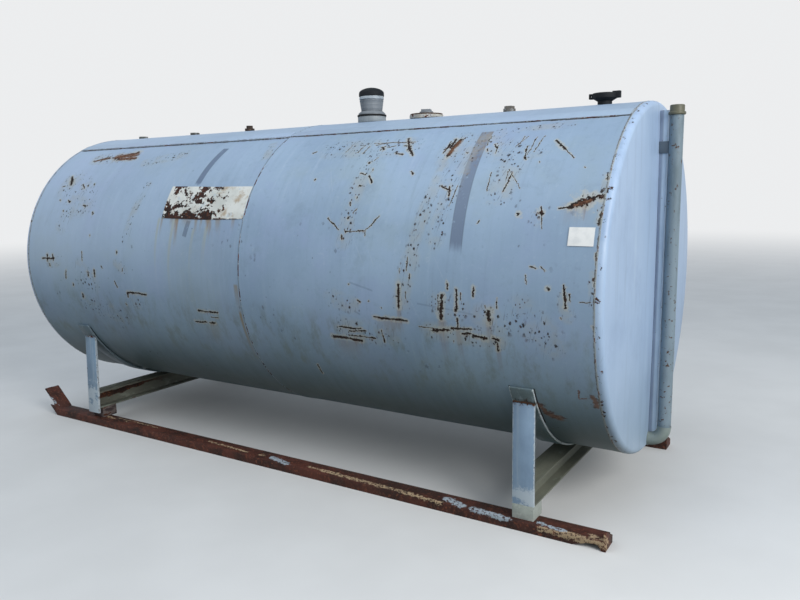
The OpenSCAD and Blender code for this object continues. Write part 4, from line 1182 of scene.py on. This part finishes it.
# %% Seams of the shell
seam_paint = fitting_paint("seam paint", "8fa3b6", "7b8ea0", 0.52, 0.6, 8)
rim_paint = fitting_paint("rim paint", "8f999c", "788286", 0.55, 0.6, 14)
ring_bead("girth_bead", SEAM_X, TANK_R - 0.0033, 0.0038, 480, seam_paint, 3, "girth_weld")
ring_bead("rim_bead_right", RIGHT_RIM, TANK_R - 0.0019, 0.0024, 420, rim_paint, 4)
ring_bead("rim_bead_left", LEFT_RIM, TANK_R - 0.0019, 0.0024, 420, rim_paint, 5)

lap_rust = fitting_paint("lap edge paint", "6c7379", "4f5050", 0.53, 0.8, 9)
for side, seed in (("left", 11), ("right", 12)):
    low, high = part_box("lap_" + side)
    # the lower edge of a lapped plate is the lowest that its points go round the near side
    angles = [math.atan2(vertex.co.z - AXIS_Z, -vertex.co.y) for vertex in NODE["lap_" + side].data.vertices]
    foot_angle = min(angles) - 0.0012
    reach = TANK_R + 0.0008
    y, z = -reach * math.cos(foot_angle), AXIS_Z + reach * math.sin(foot_angle)
    straight_bead("lap_bead_" + side, low[0] + 0.001, high[0] - 0.001, y, z, 0.0021, 240, lap_rust, 0.0007, seed)
    edged("lap_" + side, "lap_plate_" + side, 0.0008, paint_plain)


# %% [markdown]
# ## The stiffener, its bracket and the standpipe
# A flat bar on edge runs down the right head, and a bracket on it holds the standpipe, which
# comes out of the head's foot through an elbow. The pipe is a long outline with many rings, so
# that its points can be nudged and the old pipe isn't ruler straight.

# %% Stiffener, bracket and pipe
def stiffener_finish():
    """Painted shade lies in the corner beside the head, uneven along the bar, and a painted highlight runs along the
    bar's outer edge.
    """
    m = Paint("stiffener paint")
    low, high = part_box("head_stiffener")
    depth = high[0] - low[0]
    x, y, z = m.split(m.place)
    m.ground("b4c7db", "a3b7cd", m.grain(6, 5, 0.6))
    # painted shade: the half of the bar next to the head is painted darker
    painted_corner_shade = m.step(x, low[0] + 0.52 * depth, low[0] + 0.30 * depth)
    shade_unevenness = m.grain(9, 6, 0.7, (1, 1, 0.25), (3, 3, 3))
    m.lay("6c7890", painted_corner_shade, m.ramp(shade_unevenness, 0.3, 0.7, 0.55, 0.95))
    # painted highlight: a pale line along the bar's outer edge
    m.wash("dbe4ec", x, high[0] - 0.0065, high[0] - 0.0035, 0.8)
    chips = m.step(m.grain(40, 6, 0.72, shift=(4, 8, 1)), 0.65, 0.67)
    m.lay(m.rust(), chips)
    return m.done(0.45 + chips * 0.3, m.grain(18, 4, 0.5) - chips, 0.0008)


edged("head_stiffener", "stiffener_bar", 0.0014, stiffener_finish())
edged("pipe_bracket", "bracket_plate", 0.0012, bracket_paint)
pipe_low, pipe_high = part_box("standpipe")
pipe_r = (pipe_high[0] - pipe_low[0]) * 500
bore_r = pipe_r - 3.9
rise = (pipe_high[2] - pipe_low[2]) * 1000
pipe_outline = [(bore_r, 0), (pipe_r - 0.6, 0), (pipe_r, 1)]
pipe_outline += [(pipe_r, 1 + (rise - 2) * k / 60) for k in range(1, 60)]
pipe_outline += [(pipe_r, rise - 1), (pipe_r - 0.6, rise), (bore_r, rise)]
standpipe = turned("standpipe_tube", pipe_outline, ((pipe_low[0] + pipe_high[0]) / 2, 0, pipe_low[2]), steps=48,
                   ripple=0.00012, seed=6)
finished(standpipe, pipe_metal, "bare_pipe", "standpipe")
edged("pipe_cap", "pipe_cap_body", 0.0012, cap_metal, "bare_pipe")
edged("outlet_nipple", "outlet_ring", 0.0006, elbow_metal, "bare_pipe")

# %% [markdown]
# ## Vent
# The vent is a stack of turned rings: neck, black gasket, sloping flange, tapered drum with faint
# ribs, pale ring and black dome. Each ring's outline is drawn in section and spun.

# %% Vent
neck_paint = fitting_paint("neck paint", "90979b", "7c8286", 0.74, 0.7, 14)
edged("vent_neck", "vent_neck_ring", 0.0012, neck_paint)
vent_low, vent_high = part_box("vent_drum")
ring_paint = fitting_paint("ring paint", "aab3ba", "959ea5", 0.70, 0.3, 12)
dome_outline = [(30, 0), (69.4, 0), (70.5, 0.02), (70.5, 0.27), (70.1, 0.34)]
dome_outline += [(70.5 * math.cos(math.radians(a)) ** 1.12, 0.34 + 0.66 * math.sin(math.radians(a)))
                 for a in range(12, 90, 6)] + [(0, 1)]
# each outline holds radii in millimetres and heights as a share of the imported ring's height
for node_name, name, material, slot, outline in (
        ("vent_gasket", "vent_gasket_ring", rubber, "gasket",
         [(40, 0), (80.4, 0), (81.5, 0.12), (81.5, 0.88), (80.4, 1), (40, 1)]),
        ("vent_flange", "vent_flange_ring", drum_metal, "tank_paint",
         [(40, 0), (74.6, 0), (75.5, 0.06), (75.5, 0.34), (73.5, 0.46), (64.5, 0.86), (61, 0.98), (58, 1), (40, 1)]),
        ("vent_drum", "vent_drum_body", drum_metal, "tank_paint",
         [(30, 0), (56.8, 0), (56.8, 0.035), (59, 0.045), (60.2, 0.20), (60.9, 0.215), (61.0, 0.235), (60.8, 0.25),
          (62.9, 0.50), (63.7, 0.515), (63.8, 0.535), (63.5, 0.55), (66.2, 0.86), (67, 0.88), (67, 0.935),
          (64.2, 0.95), (64.2, 1), (30, 1)]),
        ("vent_ring", "vent_ring_band", ring_paint, "tank_paint",
         [(30, 0), (66.4, 0), (68.5, 0.10), (68.5, 0.62), (67.3, 0.82), (66.3, 0.98), (30, 1)]),
        ("vent_dome", "vent_dome_cap", black_cap, "black_cap", dome_outline)):
    low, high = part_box(node_name)
    tall = (high[2] - low[2]) * 1000
    piece = turned(name, [(r, h * tall) for r, h in outline], ((vent_low[0] + vent_high[0]) / 2, 0, low[2]),
                   steps=96, angle=32)
    finished(piece, material, slot, node_name)

# %% [markdown]
# ## Covers, plugs and the fill cap
# These sit on the tank's top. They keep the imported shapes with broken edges; the low cover's
# plate has a rusty rim, and the fill cap and its neck are black.

# %% Covers, plugs and the fill cap
for node_name, name, edge, material, slot in (
        ("cover_collar", "cover_collar_ring", 0.0015, small_paint, "tank_paint"),
        ("cover_plate", "cover_plate_disc", 0.0015, cover_rust, "tank_paint"),
        ("cover_plug", "cover_plug_body", 0.0012, drum_metal, "tank_paint"),
        ("hex_plug", "hex_plug_body", 0.0010, plug_paint, "rusty_steel"),
        ("step_plug", "step_plug_body", 0.0010, plug_rust, "rusty_steel"),
        ("bung_a", "bung_a_body", 0.0015, plug_paint, "tank_paint"),
        ("bung_b", "bung_b_body", 0.0015, plug_paint, "tank_paint"),
        ("fill_neck", "fill_neck_ring", 0.0010, black_cap, "black_cap"),
        ("fill_body", "fill_cap_body", 0.0020, black_cap, "black_cap"),
        ("fill_lid", "fill_cap_lid", 0.0030, black_cap, "black_cap")):
    edged(node_name, name, edge, material, slot, segments=3)

# %% [markdown]
# ## Straps, legs, beams and spacers
# Two rolled straps carry the tank. A leg of flat bar stands under each strap's end, on a cross
# beam, and spacers carry the beams on the runners. Beads of weld join the leg tops to the straps.

# %% Saddles
for side, leg, strap, beam, spacer, weld in (
        ("left", left_leg_paint, left_strap_paint, left_beam_paint, left_spacer_paint, seam_paint),
        ("right", right_leg_paint, right_strap_paint, right_beam_paint, right_spacer_paint, weld_rust)):
    edged("strap_" + side, "saddle_strap_" + side, 0.0014, strap)
    edged("leg_front_" + side, "front_leg_" + side, 0.0018, leg)
    edged("leg_rear_" + side, "rear_leg_" + side, 0.0018, leg_side_paint)
    edged("cross_beam_" + side, "beam_" + side, 0.0018, beam, "rusty_steel")
    edged("spacers_" + side, "beam_spacers_" + side, 0.0016, spacer, "rusty_steel")
    for end, sign in (("front", -1), ("rear", 1)):
        low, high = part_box("leg_%s_%s" % (end, side))
        top = high[2] - 0.001
        strap_r = TANK_R + 0.0095
        y = sign * (math.sqrt(strap_r ** 2 - (AXIS_Z - top) ** 2) + 0.0015)
        straight_bead("leg_bead_%s_%s" % (end, side), low[0] + 0.002, high[0] - 0.002, y, top, 0.0042, 40, weld,
                      0.0012, 20 + len(side) + sign)

# %% [markdown]
# ## Runners
# Each runner is a length of channel, web up. The near one's left tip is torn. It gets small extra
# faces that are nudged about, so that the steel looks ripped and thin there, and the rest stays
# straight.

# %% Runners
TORN_LENGTH = 0.16
TORN_DEPTH = 0.0022

front = edged_copy("runner_front", "runner_channel_front", 0.0022)
low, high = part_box("runner_front")


def torn(point):
    return point.x < low[0] + TORN_LENGTH and point.z > 0.03


open_edit(front)
bpy.ops.mesh.quads_convert_to_tris()
found = pick(front, "FACE", lambda face: torn(face.calc_center_median()))
bpy.ops.mesh.subdivide(number_cuts=3)
pick(front, "VERT", lambda v: torn(v.co) and v.co.x > low[0] + TORN_DEPTH and v.co.y > low[1] + TORN_DEPTH
     and TORN_DEPTH < v.co.z < high[2] - TORN_DEPTH)
nudge(TORN_DEPTH, 7)
close_edit()
print("torn faces:", found)
settle(front, "runner_channel_front", 40)
finished(front, runner_rust, "rusty_steel", "runner_front")
edged("runner_rear", "runner_channel_rear", 0.0022, runner_rust, "rusty_steel")

# %% [markdown]
# ## The peeled sign
# A sheet of thin film on the shell, once a printed sign. An edge is spun round the tank's axis and
# given a thickness. Its right corners are pulled to where they sit on the real one, and the points
# near them follow, less and less.

# %% Sign sheet
sign_low, sign_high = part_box("sign_panel")
sign_foot = math.radians(21.75)
sign_r = TANK_R + 0.0002
sheet = single_point()
bpy.ops.transform.translate(value=(sign_low[0] + 0.001, -sign_r * math.cos(sign_foot),
                                   AXIS_Z + sign_r * math.sin(sign_foot)))
for k in range(60):
    extrude(((sign_high[0] - sign_low[0] - 0.003) / 60, 0, 0))
all_selected()
bpy.ops.mesh.spin(steps=18, angle=math.radians(13.85), center=(0, 0, AXIS_Z), axis=(1, 0, 0))
close_edit()
heights = [v.co.z for v in sheet.data.vertices]
bottom, top = min(heights), max(heights)
print("sign sheet from", round(bottom, 4), "to", round(top, 4))
for test, angle, follow in ((lambda z: z > top - 0.001, -1.1, 0.60), (lambda z: z < bottom + 0.02, 0.75, 0.30)):
    open_edit(sheet)
    pick(sheet, "VERT", lambda v: test(v.co.z) and v.co.x > sign_high[0] - 0.01)
    bpy.ops.transform.rotate(value=math.radians(angle), orient_axis="X", center_override=(0, 0, AXIS_Z),
                             use_proportional_edit=True, proportional_edit_falloff="LINEAR",
                             proportional_size=follow)
    close_edit()
use(sheet, "SOLIDIFY", thickness=0.0011, offset=0.0)
settle(sheet, "sign_sheet", 40)
finished(sheet, sign_material, "sign", "sign_panel")

# %% [markdown]
# ## Last lines
# Everything is deselected and the view transform is set to Standard.

# %% Finish
nothing_selected()
bpy.context.scene.view_settings.view_transform = "Standard"
